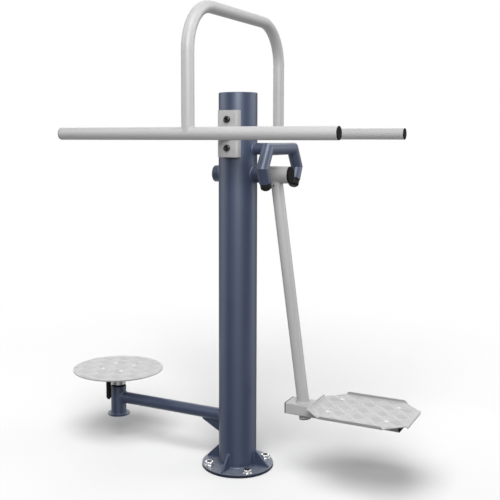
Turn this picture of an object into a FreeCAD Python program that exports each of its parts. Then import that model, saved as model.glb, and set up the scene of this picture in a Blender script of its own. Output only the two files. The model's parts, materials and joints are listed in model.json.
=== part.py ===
"""Outdoor twister and surfer: a post with a turning disc on one side and a swinging footboard on the other.

The frame's origin is on the post's axis, at the underside of the base flange. +Z is up, the two grip bars
run along X, the footboard swings about an axis along X and the disc turns about an upright axis at -X.
All sizes are in millimetres and all angles in degrees.
"""

import FreeCAD, Part
import math
import os
import re
import Sketcher

# Driving sizes, one cell each in the sheet
SIZES = {
    # Post and base
    "post_diameter": 139.7,
    "post_wall": 4.0,
    "post_rise": 146.0,
    "cap_thickness": 4.0,
    "cap_bevel": 2.0,
    "flange_diameter": 264.0,
    "flange_thickness": 10.0,
    "anchor_circle": 220.0,
    "anchor_hole": 22.0,
    "anchor_slack": 1.0,
    "anchor_flats": 30.0,
    "anchor_nut_height": 14.0,
    "gusset_length": 56.0,
    "gusset_height": 56.0,
    "gusset_nose": 5.0,
    "gusset_thickness": 8.0,
    # Grip bars, arch and saddles
    "bar_height": 1228.0,
    "bar_spread": 714.0,
    "bar_length": 1018.0,
    "grip_diameter": 42.4,
    "grip_wall": 2.6,
    "arch_rise": 420.0,
    "arch_bend": 155.0,
    "saddle_width": 80.0,
    "saddle_height": 165.0,
    "saddle_thickness": 5.0,
    "saddle_gap": 10.0,
    "saddle_bend": 3.0,
    "saddle_bolt_pitch": 100.0,
    "saddle_bolt_diameter": 12.0,
    "saddle_head_diameter": 24.0,
    "saddle_head_height": 10.0,
    "saddle_head_bevel": 2.5,
    "saddle_socket": 10.0,
    "saddle_nut_flats": 19.0,
    "saddle_nut_height": 10.0,
    # Push-in end plugs
    "plug_head": 3.0,
    "plug_depth": 15.0,
    "plug_wall": 3.0,
    # Pivot of the swinging arm
    "pivot_drop": 144.0,
    "pivot_diameter": 60.3,
    "pivot_wall": 2.6,
    "pivot_left": 91.0,
    "pivot_right": 100.0,
    "pivot_cap_thickness": 4.0,
    "land_width": 12.0,
    "shaft_diameter": 40.0,
    "thread_diameter": 20.0,
    "thread_spare": 2.0,
    "lock_nut_flats": 30.0,
    "lock_nut_height": 14.0,
    "lock_nut_flange": 46.0,
    "lock_nut_rim": 4.0,
    # Plain bearing bushes in the two hubs
    "hub_bore": 50.0,
    "bush_length": 25.0,
    "bush_flange": 54.0,
    # Yoke with its two bump stops
    "yoke_offset": 167.0,
    "yoke_rise": 91.0,
    "yoke_top_half": 108.0,
    "yoke_elbow_half": 149.0,
    "yoke_elbow_rise": 25.0,
    "yoke_leg_tilt": 26.0,
    "yoke_leg_length": 50.0,
    "yoke_diameter": 42.4,
    "yoke_wall": 3.2,
    "stop_pad_diameter": 38.5,
    "stop_pad_length": 28.0,
    "stop_pad_bevel": 6.0,
    "stop_pad_depth": 18.0,
    # Swinging arm and its hub
    "swing_hub_start": 104.0,
    "swing_hub_length": 99.0,
    "swing_bush_span": 76.0,
    "hub_plug_diameter": 60.0,
    "hub_plug_head": 6.0,
    "hub_plug_bevel": 2.0,
    "swing_arm_offset": 150.0,
    "swing_arm_lean": 7.87,
    "swing_arm_length": 871.0,
    "vent_hole": 7.0,
    "vent_drop": 8.0,
    # Footboard and its beam
    "beam_inset": 59.3,
    "beam_length": 407.0,
    "beam_width": 80.0,
    "beam_height": 40.0,
    "beam_wall": 3.0,
    "beam_corner": 4.5,
    "beam_rise": 17.8,
    "beam_plug_head": 4.0,
    "board_inset": 98.0,
    "board_length": 352.0,
    "board_width": 300.0,
    "board_thickness": 3.0,
    "board_corner_length": 63.0,
    "board_corner_width": 63.0,
    "board_bend": 2.0,
    "lip_height": 8.5,
    "lip_drop": 7.0,
    "lip_slope": 9.0,
    "board_bolt_pitch": 206.0,
    "board_bolt_spread": 148.0,
    "lug_width": 40.0,
    "lug_edge": 20.0,
    "lug_thickness": 6.0,
    # Twister disc, hub and arm
    "twister_offset": 536.0,
    "disc_rise": 64.0,
    "disc_diameter": 356.0,
    "disc_thickness": 4.0,
    "disc_bolt_circle": 125.0,
    "disc_plate_diameter": 150.0,
    "disc_plate_thickness": 8.0,
    "disc_collar_diameter": 57.0,
    "collar_gap": 8.0,
    "twister_hub_diameter": 60.3,
    "hub_rise": 45.0,
    "foot_drop": 71.0,
    "twister_foot_diameter": 88.0,
    "twister_foot_thickness": 5.0,
    "twister_foot_bore": 50.0,
    "twister_bush_span": 84.0,
    "twister_arm_height": 179.0,
    "twister_arm_diameter": 44.5,
    "twister_arm_wall": 3.2,
    "arm_gusset_length": 78.0,
    "arm_gusset_height": 44.0,
    "arm_gusset_thickness": 8.0,
    "turn_stop_radius": 48.5,
    "turn_stop_diameter": 20.0,
    "turn_stop_length": 124.0,
    "turn_stop_pin": 12.0,
    "turn_stop_gap": 4.0,
    "turn_stop_tail": 6.0,
    # Small plate bolts of the footboard and the disc
    "plate_bolt_diameter": 10.0,
    "plate_head_diameter": 20.0,
    "plate_head_height": 4.5,
    "plate_nut_flats": 16.0,
    "plate_nut_height": 8.0,
    # Clearances
    "weld_gap": 0.15,
    "fit_gap": 0.05,
    "run_gap": 0.3,
    "seal_gap": 0.6,
    "bolt_slack": 1.0,
    "cope_trim": 6.0,
}

PLATE_CORNERS = (45, 135, 225, 315)
SIDES = (-1, 1)

ORIGIN = ("0", "0", "0")
UP = FreeCAD.Rotation()
DOWN = FreeCAD.Rotation(FreeCAD.Vector(1, 0, 0), 180)
ALONG_X = FreeCAD.Rotation(FreeCAD.Vector(0, 1, 0), 90)
BACK_X = FreeCAD.Rotation(FreeCAD.Vector(0, 1, 0), -90)
ALONG_Y = FreeCAD.Rotation(FreeCAD.Vector(1, 0, 0), -90)
HALF_TURN = FreeCAD.Rotation(FreeCAD.Vector(0, 0, 1), 180)
QUARTER_TURNS = [FreeCAD.Rotation(FreeCAD.Vector(0, 0, 1), 90 * i) for i in range(4)]
LEAN_AXIS = FreeCAD.Vector(0, -1, 0)

# Levels that follow from the driving sizes, so that what hangs together moves together
LEVELS = {
    "post_top": "bar_height + post_rise",
    "arch_top": "bar_height + arch_rise",
    "pivot_height": "bar_height - pivot_drop",
    "yoke_top": "pivot_height + yoke_rise",
    "yoke_elbow_height": "pivot_height + yoke_elbow_rise",
    "arm_end_offset": "swing_arm_offset + swing_arm_length * sin(swing_arm_lean)",
    "arm_end_height": "pivot_height - swing_arm_length * cos(swing_arm_lean)",
    "beam_start": "arm_end_offset - beam_inset",
    "beam_bottom": "arm_end_height + beam_rise",
    "board_start": "beam_start + board_inset",
    "twister_hub_top": "twister_arm_height + hub_rise",
    "twister_foot_bottom": "twister_arm_height - foot_drop",
    "disc_collar_bottom": "twister_hub_top + collar_gap",
    "disc_top": "disc_collar_bottom + disc_rise",
    "turn_stop_bottom": "disc_top - disc_thickness - disc_plate_thickness - turn_stop_length",
}

# Places that several pieces share, worked out from the driving sizes
POST_RADIUS = "post_diameter / 2"
SADDLE_FACE = "(post_diameter / 2 + saddle_gap + saddle_thickness)"
GRIP_BORE = "(grip_diameter - 2 * grip_wall)"
BOLT_HOLE = "(saddle_bolt_diameter + bolt_slack)"
PLATE_HOLE = "(plate_bolt_diameter + bolt_slack)"
HUB_FIT = "(hub_bore - 2 * fit_gap)"
SHAFT_FIT = "(shaft_diameter + 2 * run_gap)"
SWING_BUSH_END = "(swing_hub_start + swing_bush_span)"
TWISTER_BUSH_END = "(twister_hub_top - twister_bush_span)"
BEAM_TOP = "(beam_bottom + beam_height)"
BOARD_MIDDLE = "(board_start + board_length / 2)"
FOOT_TOP = "(twister_foot_bottom + twister_foot_thickness)"
PLATE_TOP = "(disc_top - disc_thickness)"
PLATE_BOTTOM = f"({PLATE_TOP} - disc_plate_thickness)"

doc = FreeCAD.newDocument("outdoor_twister_and_surfer")
SIZE_NAME = re.compile(r"[a-z][a-z_]*[a-z]")


def fill_sheet():
    """Put each driving size, and each level that follows from them, in a cell of its own under its own name."""
    sheet = doc.addObject("Spreadsheet::Sheet", "Sizes")
    rows = [(name, str(value)) for name, value in SIZES.items()]
    rows += [(name, f"={text}") for name, text in LEVELS.items()]
    for row, (name, content) in enumerate(rows, start=1):
        sheet.set(f"A{row}", name)
        sheet.set(f"B{row}", content)
        sheet.setAlias(f"B{row}", name)
    doc.recompute()


def formula(text):
    """Point each size named in a formula at its cell."""

    def cell(found):
        name = found.group()
        return f"Sizes.{name}" if name in SIZES or name in LEVELS else name

    return SIZE_NAME.sub(cell, text)


def bind(thing, path, text):
    """Drive one property of a document object by a formula."""
    thing.setExpression(path, formula(text))


def place(thing, spot, turn=UP):
    """Put an object at a spot given by three formulas, turned by a fixed rotation."""
    thing.Placement = FreeCAD.Placement(FreeCAD.Vector(), turn)
    for axis, text in zip("xyz", spot):
        bind(thing, f"Placement.Base.{axis}", text)
    return thing


def lean(thing, spot, extra="0"):
    """Put an object at a spot on the swinging arm, with its own +Z up the arm."""
    place(thing, spot, FreeCAD.Rotation(LEAN_AXIS, 1))
    bind(thing, "Placement.Rotation.Angle", f"swing_arm_lean + {extra}")
    return thing


def new_body(name):
    return doc.addObject("PartDesign::Body", name)


def new_sketch(body, role="XY_Plane", level="0"):
    """A sketch on one of the body's own base planes, moved along its normal by a formula."""
    plane = next(feature for feature in body.Origin.OriginFeatures if feature.Role == role)
    sketch = body.newObject("Sketcher::SketchObject", f"{body.Name}_sketch")
    sketch.AttachmentSupport = (plane, [""])
    sketch.MapMode = "FlatFace"
    bind(sketch, "AttachmentOffset.Base.z", level)
    return sketch


def pin_point(sketch, edge, end, spot):
    """Hold a point of the sketch at two formulas, measured from the sketch's origin."""
    point = sketch.getPoint(edge, end)
    for kind, start, text in zip(("DistanceX", "DistanceY"), (point.x, point.y), spot):
        number = sketch.addConstraint(Sketcher.Constraint(kind, -1, 1, edge, end, start))
        bind(sketch, f"Constraints[{number}]", text)


def draw_circle(sketch, diameter, spot=("0", "0")):
    """A circle whose centre and diameter follow formulas."""
    circle = Part.Circle(FreeCAD.Vector(), FreeCAD.Vector(0, 0, 1), 10)
    edge = sketch.addGeometry(circle)
    pin_point(sketch, edge, 3, spot)
    number = sketch.addConstraint(Sketcher.Constraint("Diameter", edge, 20))
    bind(sketch, f"Constraints[{number}]", diameter)


def draw_outline(sketch, corners, closed=True):
    """Straight edges through corners that are each held by two formulas."""
    step = 2 * math.pi / len(corners)
    ring = [FreeCAD.Vector(math.cos(step * i), math.sin(step * i), 0) * 100 for i in range(len(corners))]
    first = sketch.GeometryCount
    count = len(corners) if closed else len(corners) - 1
    for i in range(count):
        sketch.addGeometry(Part.LineSegment(ring[i], ring[(i + 1) % len(corners)]))
    for i in range(count if closed else count - 1):
        following = first + (i + 1) % count
        sketch.addConstraint(Sketcher.Constraint("Coincident", first + i, 2, following, 1))
    for i in range(count):
        pin_point(sketch, first + i, 1, corners[i])
    if not closed:
        pin_point(sketch, first + count - 1, 2, corners[-1])


def draw_hexagon(sketch, flats):
    """A regular hexagon about the sketch's origin, given across its flats."""
    corners = []
    for i in range(6):
        angle = 60 * i + 30
        corners.append((f"{flats} / sqrt(3) * cos({angle})", f"{flats} / sqrt(3) * sin({angle})"))
    draw_outline(sketch, corners)


def pad(sketch, length, middle=False):
    """Raise a sketch by a length, on one side or evenly on both."""
    body = sketch.getParentGeoFeatureGroup()
    feature = body.newObject("PartDesign::Pad", f"{body.Name}_pad")
    feature.Profile = sketch
    feature.Midplane = middle
    bind(feature, "Length", length)
    return feature


def dress_edges(kind, body, path, size, wanted):
    """Fillet or chamfer the edges of the body's last feature that a test picks out."""
    doc.recompute()
    names = [f"Edge{i}" for i, edge in enumerate(body.Tip.Shape.Edges, start=1) if wanted(edge)]
    if not names:
        raise RuntimeError(f"{body.Name}: no edge to dress")
    feature = body.newObject(f"PartDesign::{kind}", f"{body.Name}_{kind.lower()}")
    feature.Base = (feature.BaseFeature or body.Tip, names)
    bind(feature, path, size)
    body.Tip = feature


def round_edges(body, radius, wanted):
    dress_edges("Fillet", body, "Radius", radius, wanted)


def bevel_top(body, level, width):
    """Chamfer the edges of a body that lie at one level."""
    top = size_of(level)
    dress_edges("Chamfer", body, "Size", width, lambda edge: abs(edge.BoundBox.ZMin - top) < 1e-6)


def size_of(text):
    """The present value of a formula."""
    probe = doc.addObject("App::FeaturePython", "probe")
    probe.addProperty("App::PropertyFloat", "Value")
    bind(probe, "Value", text)
    probe.recompute()
    value = probe.Value
    doc.removeObject(probe.Name)
    return value


def rod(name, diameter, length, spot=ORIGIN, turn=UP):
    """A round bar."""
    cylinder = doc.addObject("Part::Cylinder", name)
    bind(cylinder, "Radius", f"({diameter}) / 2")
    bind(cylinder, "Height", length)
    return place(cylinder, spot, turn)


def tube(name, outside, bore, length, spot=ORIGIN, turn=UP):
    """A round tube or ring, drawn as two circles and padded."""
    body = new_body(name)
    sketch = new_sketch(body)
    draw_circle(sketch, outside)
    draw_circle(sketch, bore)
    pad(sketch, length)
    return place(body, spot, turn)


def cut(name, base, *tools):
    """One solid less others."""
    tool = tools[0]
    if len(tools) > 1:
        tool = doc.addObject("Part::MultiFuse", f"{name}_tools")
        tool.Shapes = list(tools)
    result = doc.addObject("Part::Cut", name)
    result.Base = base
    result.Tool = tool
    return result


def join(name, *solids):
    """Several overlapping or touching solids made one."""
    result = doc.addObject("Part::MultiFuse", name)
    result.Shapes = list(solids)
    result.Refine = True
    return result


def group(name, master, places):
    """Copies of one piece as a group of separate solids: places lists a spot and a turn for each."""
    copies = []
    for i, (spot, turn) in enumerate(places, start=1):
        copy = doc.addObject("App::Link", f"{name}_{i}")
        copy.LinkedObject = master
        copies.append(place(copy, spot, turn))
    result = doc.addObject("Part::Compound", name)
    result.Links = copies
    return result


def nut(name, flats, bore, height, spot=ORIGIN, turn=UP):
    """A hexagon nut with a plain bore."""
    body = new_body(name)
    sketch = new_sketch(body)
    draw_hexagon(sketch, flats)
    draw_circle(sketch, bore)
    pad(sketch, height)
    return place(body, spot, turn)


def button(name, diameter, height):
    """A low round head on the XY plane with a steep bevel all round."""
    head = doc.addObject("Part::Cone", name)
    bind(head, "Radius1", f"({diameter}) / 2")
    bind(head, "Radius2", f"({diameter}) / 2 - {height}")
    bind(head, "Height", height)
    return head


def button_bolt(name, diameter, length, head_diameter, head_height):
    """A bolt with a low round head: the head stands above z = 0 and the shank hangs below it."""
    head = button(f"{name}_head", head_diameter, head_height)
    shank = rod(f"{name}_shank", diameter, length, ("0", "0", f"-({length})"))
    return join(name, head, shank)


def end_plug(name, head, bore):
    """A push-in plug for a round tube: the head given above z = 0 and a hollow spigot below it."""
    spigot_diameter = f"{bore} - 2 * fit_gap"
    spigot = rod(f"{name}_spigot", spigot_diameter, "plug_depth", ("0", "0", "-plug_depth"))
    hollow = rod(f"{name}_hollow", f"{spigot_diameter} - 2 * plug_wall", "plug_depth", ("0", "0", "-plug_depth"))
    return join(name, head, cut(f"{name}_sleeve", spigot, hollow))


def capped_disc(name, diameter, height, bevel):
    """A round disc with its upper edge bevelled."""
    body = new_body(name)
    sketch = new_sketch(body)
    draw_circle(sketch, diameter)
    pad(sketch, height)
    bevel_top(body, height, bevel)
    return body


def lock_nut(name, spot, turn):
    """A hexagon nut on a round flange that holds a hub on its shaft, with the flange at z = 0."""
    bore = "thread_diameter + 2 * fit_gap"
    body = new_body(name)
    sketch = new_sketch(body)
    draw_circle(sketch, "lock_nut_flange")
    draw_circle(sketch, bore)
    pad(sketch, "lock_nut_rim")
    sketch = new_sketch(body, "XY_Plane", "lock_nut_rim")
    draw_hexagon(sketch, "lock_nut_flats")
    draw_circle(sketch, bore)
    pad(sketch, "lock_nut_height - lock_nut_rim")
    return place(body, spot, turn)


def bushes(name, flange_thickness, spots, turn):
    """A flanged bush and a plain one, both with their inner ends at +Z and pressed into a hub."""
    flanged = new_body(f"{name}_flanged")
    sketch = new_sketch(flanged)
    draw_circle(sketch, HUB_FIT)
    draw_circle(sketch, SHAFT_FIT)
    pad(sketch, "bush_length")
    sketch = new_sketch(flanged, "XY_Plane", f"-({flange_thickness})")
    draw_circle(sketch, "bush_flange")
    draw_circle(sketch, SHAFT_FIT)
    pad(sketch, flange_thickness)
    place(flanged, spots[0], turn)
    plain = tube(f"{name}_plain", HUB_FIT, SHAFT_FIT, "bush_length", spots[1], turn)
    pair = doc.addObject("Part::Compound", name)
    pair.Links = [flanged, plain]
    return pair


def build_base():
    """Round flange with its gussets, and the nuts for the anchor bolts."""
    flange = new_body("base_flange")
    sketch = new_sketch(flange)
    draw_circle(sketch, "flange_diameter")
    anchors = []
    for angle in PLATE_CORNERS:
        spot = (f"anchor_circle / 2 * cos({angle})", f"anchor_circle / 2 * sin({angle})")
        draw_circle(sketch, "anchor_hole", spot)
        anchors.append(spot)
    pad(sketch, "flange_thickness")

    rib = new_body("gusset_plate")
    foot = f"({POST_RADIUS} + weld_gap)"
    sketch = new_sketch(rib, "XZ_Plane")
    draw_outline(sketch, (
        (foot, "0"),
        (f"{foot} + gusset_length", "0"),
        (f"{foot} + gusset_length", "gusset_nose"),
        (f"{foot} + gusset_nose", "gusset_height"),
        (foot, "gusset_height"),
    ))
    pad(sketch, "gusset_thickness", middle=True)
    gussets = group("base_gussets", rib, [(("0", "0", "flange_thickness"), turn) for turn in QUARTER_TURNS])

    anchor_nut = nut("anchor_nut", "anchor_flats", "anchor_hole - anchor_slack", "anchor_nut_height")
    nuts = group("anchor_nuts", anchor_nut, [((x, y, "flange_thickness"), UP) for x, y in anchors])
    return [flange, gussets, nuts]


def saddle_bolt_levels():
    return [f"bar_height + {side} * saddle_bolt_pitch / 2" for side in SIDES]


def build_post():
    """The post, drilled for the saddle bolts and the pivot tube, and its top cap."""
    length = "post_top - cap_thickness - flange_thickness"
    blank = tube("post_blank", "post_diameter", "post_diameter - 2 * post_wall", length,
                 ("0", "0", "flange_thickness"))
    tools = [rod("post_pivot_hole", "pivot_diameter + 2 * weld_gap", "2 * post_diameter",
                 ("-post_diameter", "0", "pivot_height"), ALONG_X)]
    for level in saddle_bolt_levels():
        tools.append(rod("post_bolt_hole", BOLT_HOLE, "2 * post_diameter",
                         ("0", "-post_diameter", level), ALONG_Y))
    post = cut("post_tube", blank, *tools)

    cap = capped_disc("post_cap", "post_diameter", "cap_thickness", "cap_bevel")
    place(cap, ("0", "0", "post_top - cap_thickness"))
    return [post, cap]


def build_saddle(name, turn):
    """A bent channel that straddles the post and carries one grip bar."""
    channel = new_body(f"{name}_channel")
    half = "saddle_width / 2"
    tip = "-(sqrt(post_diameter ^ 2 - saddle_width ^ 2) / 2 - cope_trim)"
    sketch = new_sketch(channel)
    draw_outline(sketch, (
        (f"-{half}", tip),
        (f"-{half}", f"-{SADDLE_FACE}"),
        (half, f"-{SADDLE_FACE}"),
        (half, tip),
        (f"{half} - saddle_thickness", tip),
        (f"{half} - saddle_thickness", f"saddle_thickness - {SADDLE_FACE}"),
        (f"saddle_thickness - {half}", f"saddle_thickness - {SADDLE_FACE}"),
        (f"saddle_thickness - {half}", tip),
    ))
    pad(sketch, "saddle_height")
    face = -size_of(SADDLE_FACE)
    inner = face + size_of("saddle_thickness")

    def upright_at(level):
        return lambda edge: len(edge.Vertexes) == 2 and all(abs(v.Y - level) < 1e-6 for v in edge.Vertexes) \
            and abs(edge.Vertexes[0].Z - edge.Vertexes[1].Z) > 1

    round_edges(channel, "saddle_bend + saddle_thickness", upright_at(face))
    round_edges(channel, "saddle_bend", upright_at(inner))
    place(channel, ("0", "0", "bar_height - saddle_height / 2"), turn)
    tools = [rod(f"{name}_post", "post_diameter + 2 * weld_gap", "2 * saddle_height",
                 ("0", "0", "bar_height - saddle_height"))]
    for level in saddle_bolt_levels():
        tools.append(rod(f"{name}_hole", BOLT_HOLE, "2 * post_diameter", ("0", "-post_diameter", level), ALONG_Y))
    return cut(name, channel, *tools)


def bar_core(name, side):
    """The round space that a grip bar fills, with the weld gap round it."""
    spot = ("-bar_length / 2", f"{side} * bar_spread / 2", "bar_height")
    return rod(name, "grip_diameter + 2 * weld_gap", "bar_length", spot, ALONG_X)


def build_arch():
    """The bent tube that joins the two grip bars over the top of the post."""
    body = new_body("arch_blank")
    body.AllowCompound = True
    half = "(bar_spread / 2)"
    spring = "(arch_top - arch_bend)"
    flat = f"({half} - arch_bend)"
    legs = new_sketch(body, "XY_Plane", "bar_height + cope_trim")
    for side in SIDES:
        for diameter in ("grip_diameter", GRIP_BORE):
            draw_circle(legs, diameter, ("0", f"{side} * {half}"))
    pad(legs, f"{spring} - bar_height - cope_trim")
    top = new_sketch(body, "XZ_Plane", f"-{flat}")
    for diameter in ("grip_diameter", GRIP_BORE):
        draw_circle(top, diameter, ("0", "arch_top"))
    pad(top, f"2 * {flat}")
    for side in SIDES:
        ring = new_sketch(body, "XY_Plane", spring)
        for diameter in ("grip_diameter", GRIP_BORE):
            draw_circle(ring, diameter, ("0", f"{side} * {half}"))
        axis = ring.addGeometry(Part.LineSegment(FreeCAD.Vector(0, 0, 0), FreeCAD.Vector(1, 0, 0)), True)
        pin_point(ring, axis, 1, ("0", f"{side} * {flat}"))
        pin_point(ring, axis, 2, ("arch_bend", f"{side} * {flat}"))
        bend = body.newObject("PartDesign::Revolution", "arch_turn")
        bend.Profile = ring
        bend.ReferenceAxis = (ring, ["Axis0"])
        bend.Angle = 90
        bend.Reversed = side < 0
    return cut("arch_tube", body, *[bar_core("arch_bar_space", side) for side in SIDES])


def build_saddle_bolt():
    """A long bolt with a round socket head: the head stands above z = 0 and the shank hangs below it."""
    reach = f"2 * {SADDLE_FACE} + saddle_nut_height"
    head = capped_disc("saddle_bolt_head", "saddle_head_diameter", "saddle_head_height", "saddle_head_bevel")
    shank = rod("saddle_bolt_shank", "saddle_bolt_diameter", reach, ("0", "0", f"-({reach})"))
    socket = new_body("saddle_bolt_socket")
    sketch = new_sketch(socket, "XY_Plane", "saddle_head_height / 2")
    draw_hexagon(sketch, "saddle_socket")
    pad(sketch, "saddle_head_height")
    return cut("saddle_bolt", join("saddle_bolt_blank", head, shank), socket)


def build_grips():
    """Both grip bars with their saddles, standoffs and plugs, the arch and the through bolts."""
    pieces = []
    run = f"bar_spread / 2 - cope_trim - {SADDLE_FACE}"
    for side, name, turn, start in (
        (-1, "front", UP, "cope_trim - bar_spread / 2"),
        (1, "rear", HALF_TURN, SADDLE_FACE),
    ):
        pieces.append(build_saddle(f"{name}_saddle", turn))
        stub = tube(f"{name}_stub", "grip_diameter", GRIP_BORE, run, ("0", start, "bar_height"), ALONG_Y)
        leg = rod(f"{name}_leg_space", "grip_diameter + 2 * weld_gap", "arch_top - bar_height",
                  ("0", f"{side} * bar_spread / 2", "bar_height"))
        pieces.append(cut(f"{name}_standoff", stub, bar_core(f"{name}_bar_space", side), leg))
        spot = ("-bar_length / 2", f"{side} * bar_spread / 2", "bar_height")
        pieces.append(tube(f"{name}_bar", "grip_diameter", GRIP_BORE, "bar_length", spot, ALONG_X))
    pieces.append(build_arch())

    plug = end_plug("grip_plug", button("grip_plug_head", "grip_diameter", "plug_head"), GRIP_BORE)
    ends = []
    for side in SIDES:
        across = f"{side} * bar_spread / 2"
        ends.append((("bar_length / 2", across, "bar_height"), ALONG_X))
        ends.append((("-bar_length / 2", across, "bar_height"), BACK_X))
    pieces.append(group("bar_end_plugs", plug, ends))

    bolt = build_saddle_bolt()
    forward = FreeCAD.Rotation(FreeCAD.Vector(1, 0, 0), 90)
    pieces.append(group("saddle_bolts", bolt, [(("0", f"-{SADDLE_FACE}", level), forward)
                                               for level in saddle_bolt_levels()]))
    back_nut = nut("saddle_nut", "saddle_nut_flats", "saddle_bolt_diameter + 2 * fit_gap", "saddle_nut_height")
    pieces.append(group("saddle_nuts", back_nut, [(("0", SADDLE_FACE, level), ALONG_Y)
                                                  for level in saddle_bolt_levels()]))
    return pieces


def build_pivot():
    """The tube through the post, and the fixed shaft that it holds between two lands."""
    pivot_bore = "(pivot_diameter - 2 * pivot_wall)"
    start = "(pivot_cap_thickness - pivot_left)"
    through = tube("pivot_tube", "pivot_diameter", pivot_bore, f"pivot_right - {start}",
                   (start, "0", "pivot_height"), ALONG_X)
    cap = rod("pivot_end_cap", "pivot_diameter", "pivot_cap_thickness", ("-pivot_left", "0", "pivot_height"), ALONG_X)
    land = f"{pivot_bore} - 2 * fit_gap"
    shaft_end = f"({SWING_BUSH_END} + run_gap)"
    core = rod("shaft_core", "shaft_diameter", f"{shaft_end} - {start}", (start, "0", "pivot_height"), ALONG_X)
    left = rod("shaft_left_land", land, "land_width", (start, "0", "pivot_height"), ALONG_X)
    right = rod("shaft_right_land", land, "land_width", ("pivot_right - land_width", "0", "pivot_height"), ALONG_X)
    thread = rod("shaft_thread", "thread_diameter", "lock_nut_height + thread_spare",
                 (shaft_end, "0", "pivot_height"), ALONG_X)
    shaft = join("pivot_shaft", core, left, right, thread)
    lock = lock_nut("shaft_nut", (shaft_end, "0", "pivot_height"), ALONG_X)
    return [through, cap, shaft, lock]


def build_yoke():
    """The mitred yoke over the pivot, its stub from the post and the rubber pads at its ends."""
    stub = tube("yoke_stub_blank", "yoke_diameter", "yoke_diameter - 2 * yoke_wall", "yoke_offset - cope_trim",
                ("0", "0", "yoke_top"), ALONG_X)
    post_space = rod("yoke_post_space", "post_diameter + 2 * weld_gap", "post_top")
    bar_space = rod("yoke_bar_space", "yoke_diameter + 2 * weld_gap", "4 * yoke_top_half",
                    ("yoke_offset", "-2 * yoke_top_half", "yoke_top"), ALONG_Y)
    stub = cut("yoke_stub", stub, post_space, bar_space)

    end_half = "(yoke_elbow_half - yoke_leg_length * sin(yoke_leg_tilt))"
    end_level = "(yoke_elbow_height - yoke_leg_length * cos(yoke_leg_tilt))"
    frame = new_body("yoke_frame")
    path = new_sketch(frame, "YZ_Plane")
    front = ((end_half, end_level), ("yoke_elbow_half", "yoke_elbow_height"), ("yoke_top_half", "yoke_top"))
    corners = [(f"-{across}", level) for across, level in front] + list(reversed(front))
    draw_outline(path, corners, closed=False)
    doc.recompute()
    section = frame.newObject("Sketcher::SketchObject", "yoke_section")
    section.AttachmentSupport = (path, ["Edge1"])
    section.MapMode = "NormalToEdge"
    section.MapPathParameter = 0
    draw_circle(section, "yoke_diameter")
    draw_circle(section, "yoke_diameter - 2 * yoke_wall")
    sweep = frame.newObject("PartDesign::AdditivePipe", "yoke_sweep")
    sweep.Profile = section
    sweep.Spine = path
    sweep.Transition = "Right corner"
    place(frame, ("yoke_offset", "0", "0"))

    pad_body = capped_disc("stop_pad_head", "stop_pad_diameter", "stop_pad_length", "stop_pad_bevel")
    stem = rod("stop_pad_stem", "yoke_diameter - 2 * yoke_wall - 2 * fit_gap", "stop_pad_depth",
               ("0", "0", "-stop_pad_depth"))
    stop_pad = join("stop_pad", pad_body, stem)
    copies = []
    for side, name in ((-1, "front"), (1, "rear")):
        copy = doc.addObject("App::Link", f"stop_pad_{name}")
        copy.LinkedObject = stop_pad
        place(copy, ("yoke_offset", f"{side} * {end_half}", end_level),
              FreeCAD.Rotation(FreeCAD.Vector(1, 0, 0), 1))
        bind(copy, "Placement.Rotation.Angle", f"180 - ({side}) * yoke_leg_tilt")
        copies.append(copy)
    pads = doc.addObject("Part::Compound", "bump_stops")
    pads.Links = copies
    return [stub, frame, pads]


def arm_core(name):
    """The round space that the swinging arm fills, with the weld gap round it."""
    space = rod(name, "grip_diameter + 2 * weld_gap", "swing_arm_length")
    return lean(space, ("arm_end_offset", "0", "arm_end_height"))


def build_swing():
    """The hub that turns on the fixed shaft, and the leaning arm below it."""
    hub = tube("swing_hub", "pivot_diameter", "hub_bore", "swing_hub_length",
               ("swing_hub_start", "0", "pivot_height"), ALONG_X)
    spots = (("swing_hub_start", "0", "pivot_height"), (f"{SWING_BUSH_END} - bush_length", "0", "pivot_height"))
    pair = bushes("swing_bushes", "swing_hub_start - pivot_right - seal_gap", spots, ALONG_X)
    head = capped_disc("hub_plug_cap", "hub_plug_diameter", "hub_plug_head", "hub_plug_bevel")
    plug = end_plug("hub_plug_blank", head, "hub_bore")
    end = "swing_hub_start + swing_hub_length"
    plug = group("hub_plug", plug, [((end, "0", "pivot_height"), ALONG_X)])

    blank = tube("swing_arm_blank", "grip_diameter", GRIP_BORE, "swing_arm_length - cope_trim")
    lean(blank, ("arm_end_offset", "0", "arm_end_height"))
    hub_space = rod("arm_hub_space", "pivot_diameter + 2 * weld_gap", "2 * swing_hub_length",
                    ("swing_hub_start - swing_hub_length / 2", "0", "pivot_height"), ALONG_X)
    vent = rod("arm_vent", "vent_hole", "grip_diameter",
               ("swing_arm_offset", "-grip_diameter", "pivot_height - pivot_diameter / 2 - vent_drop"), ALONG_Y)
    arm = cut("swing_arm", blank, hub_space, vent)
    foot = end_plug("arm_plug", button("arm_plug_head", "grip_diameter", "plug_head"), GRIP_BORE)
    tip = doc.addObject("App::Link", "arm_end_plug_copy")
    tip.LinkedObject = foot
    lean(tip, ("arm_end_offset", "0", "arm_end_height"), "180")
    foot_plug = doc.addObject("Part::Compound", "arm_end_plug")
    foot_plug.Links = [tip]
    return [hub, pair, plug, arm, foot_plug]


def box_corners(width, height):
    """The corners of a rectangle that stands on the sketch's X axis, centred across it."""
    return ((f"-({width}) / 2", "0"), (f"({width}) / 2", "0"),
            (f"({width}) / 2", height), (f"-({width}) / 2", height))


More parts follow.
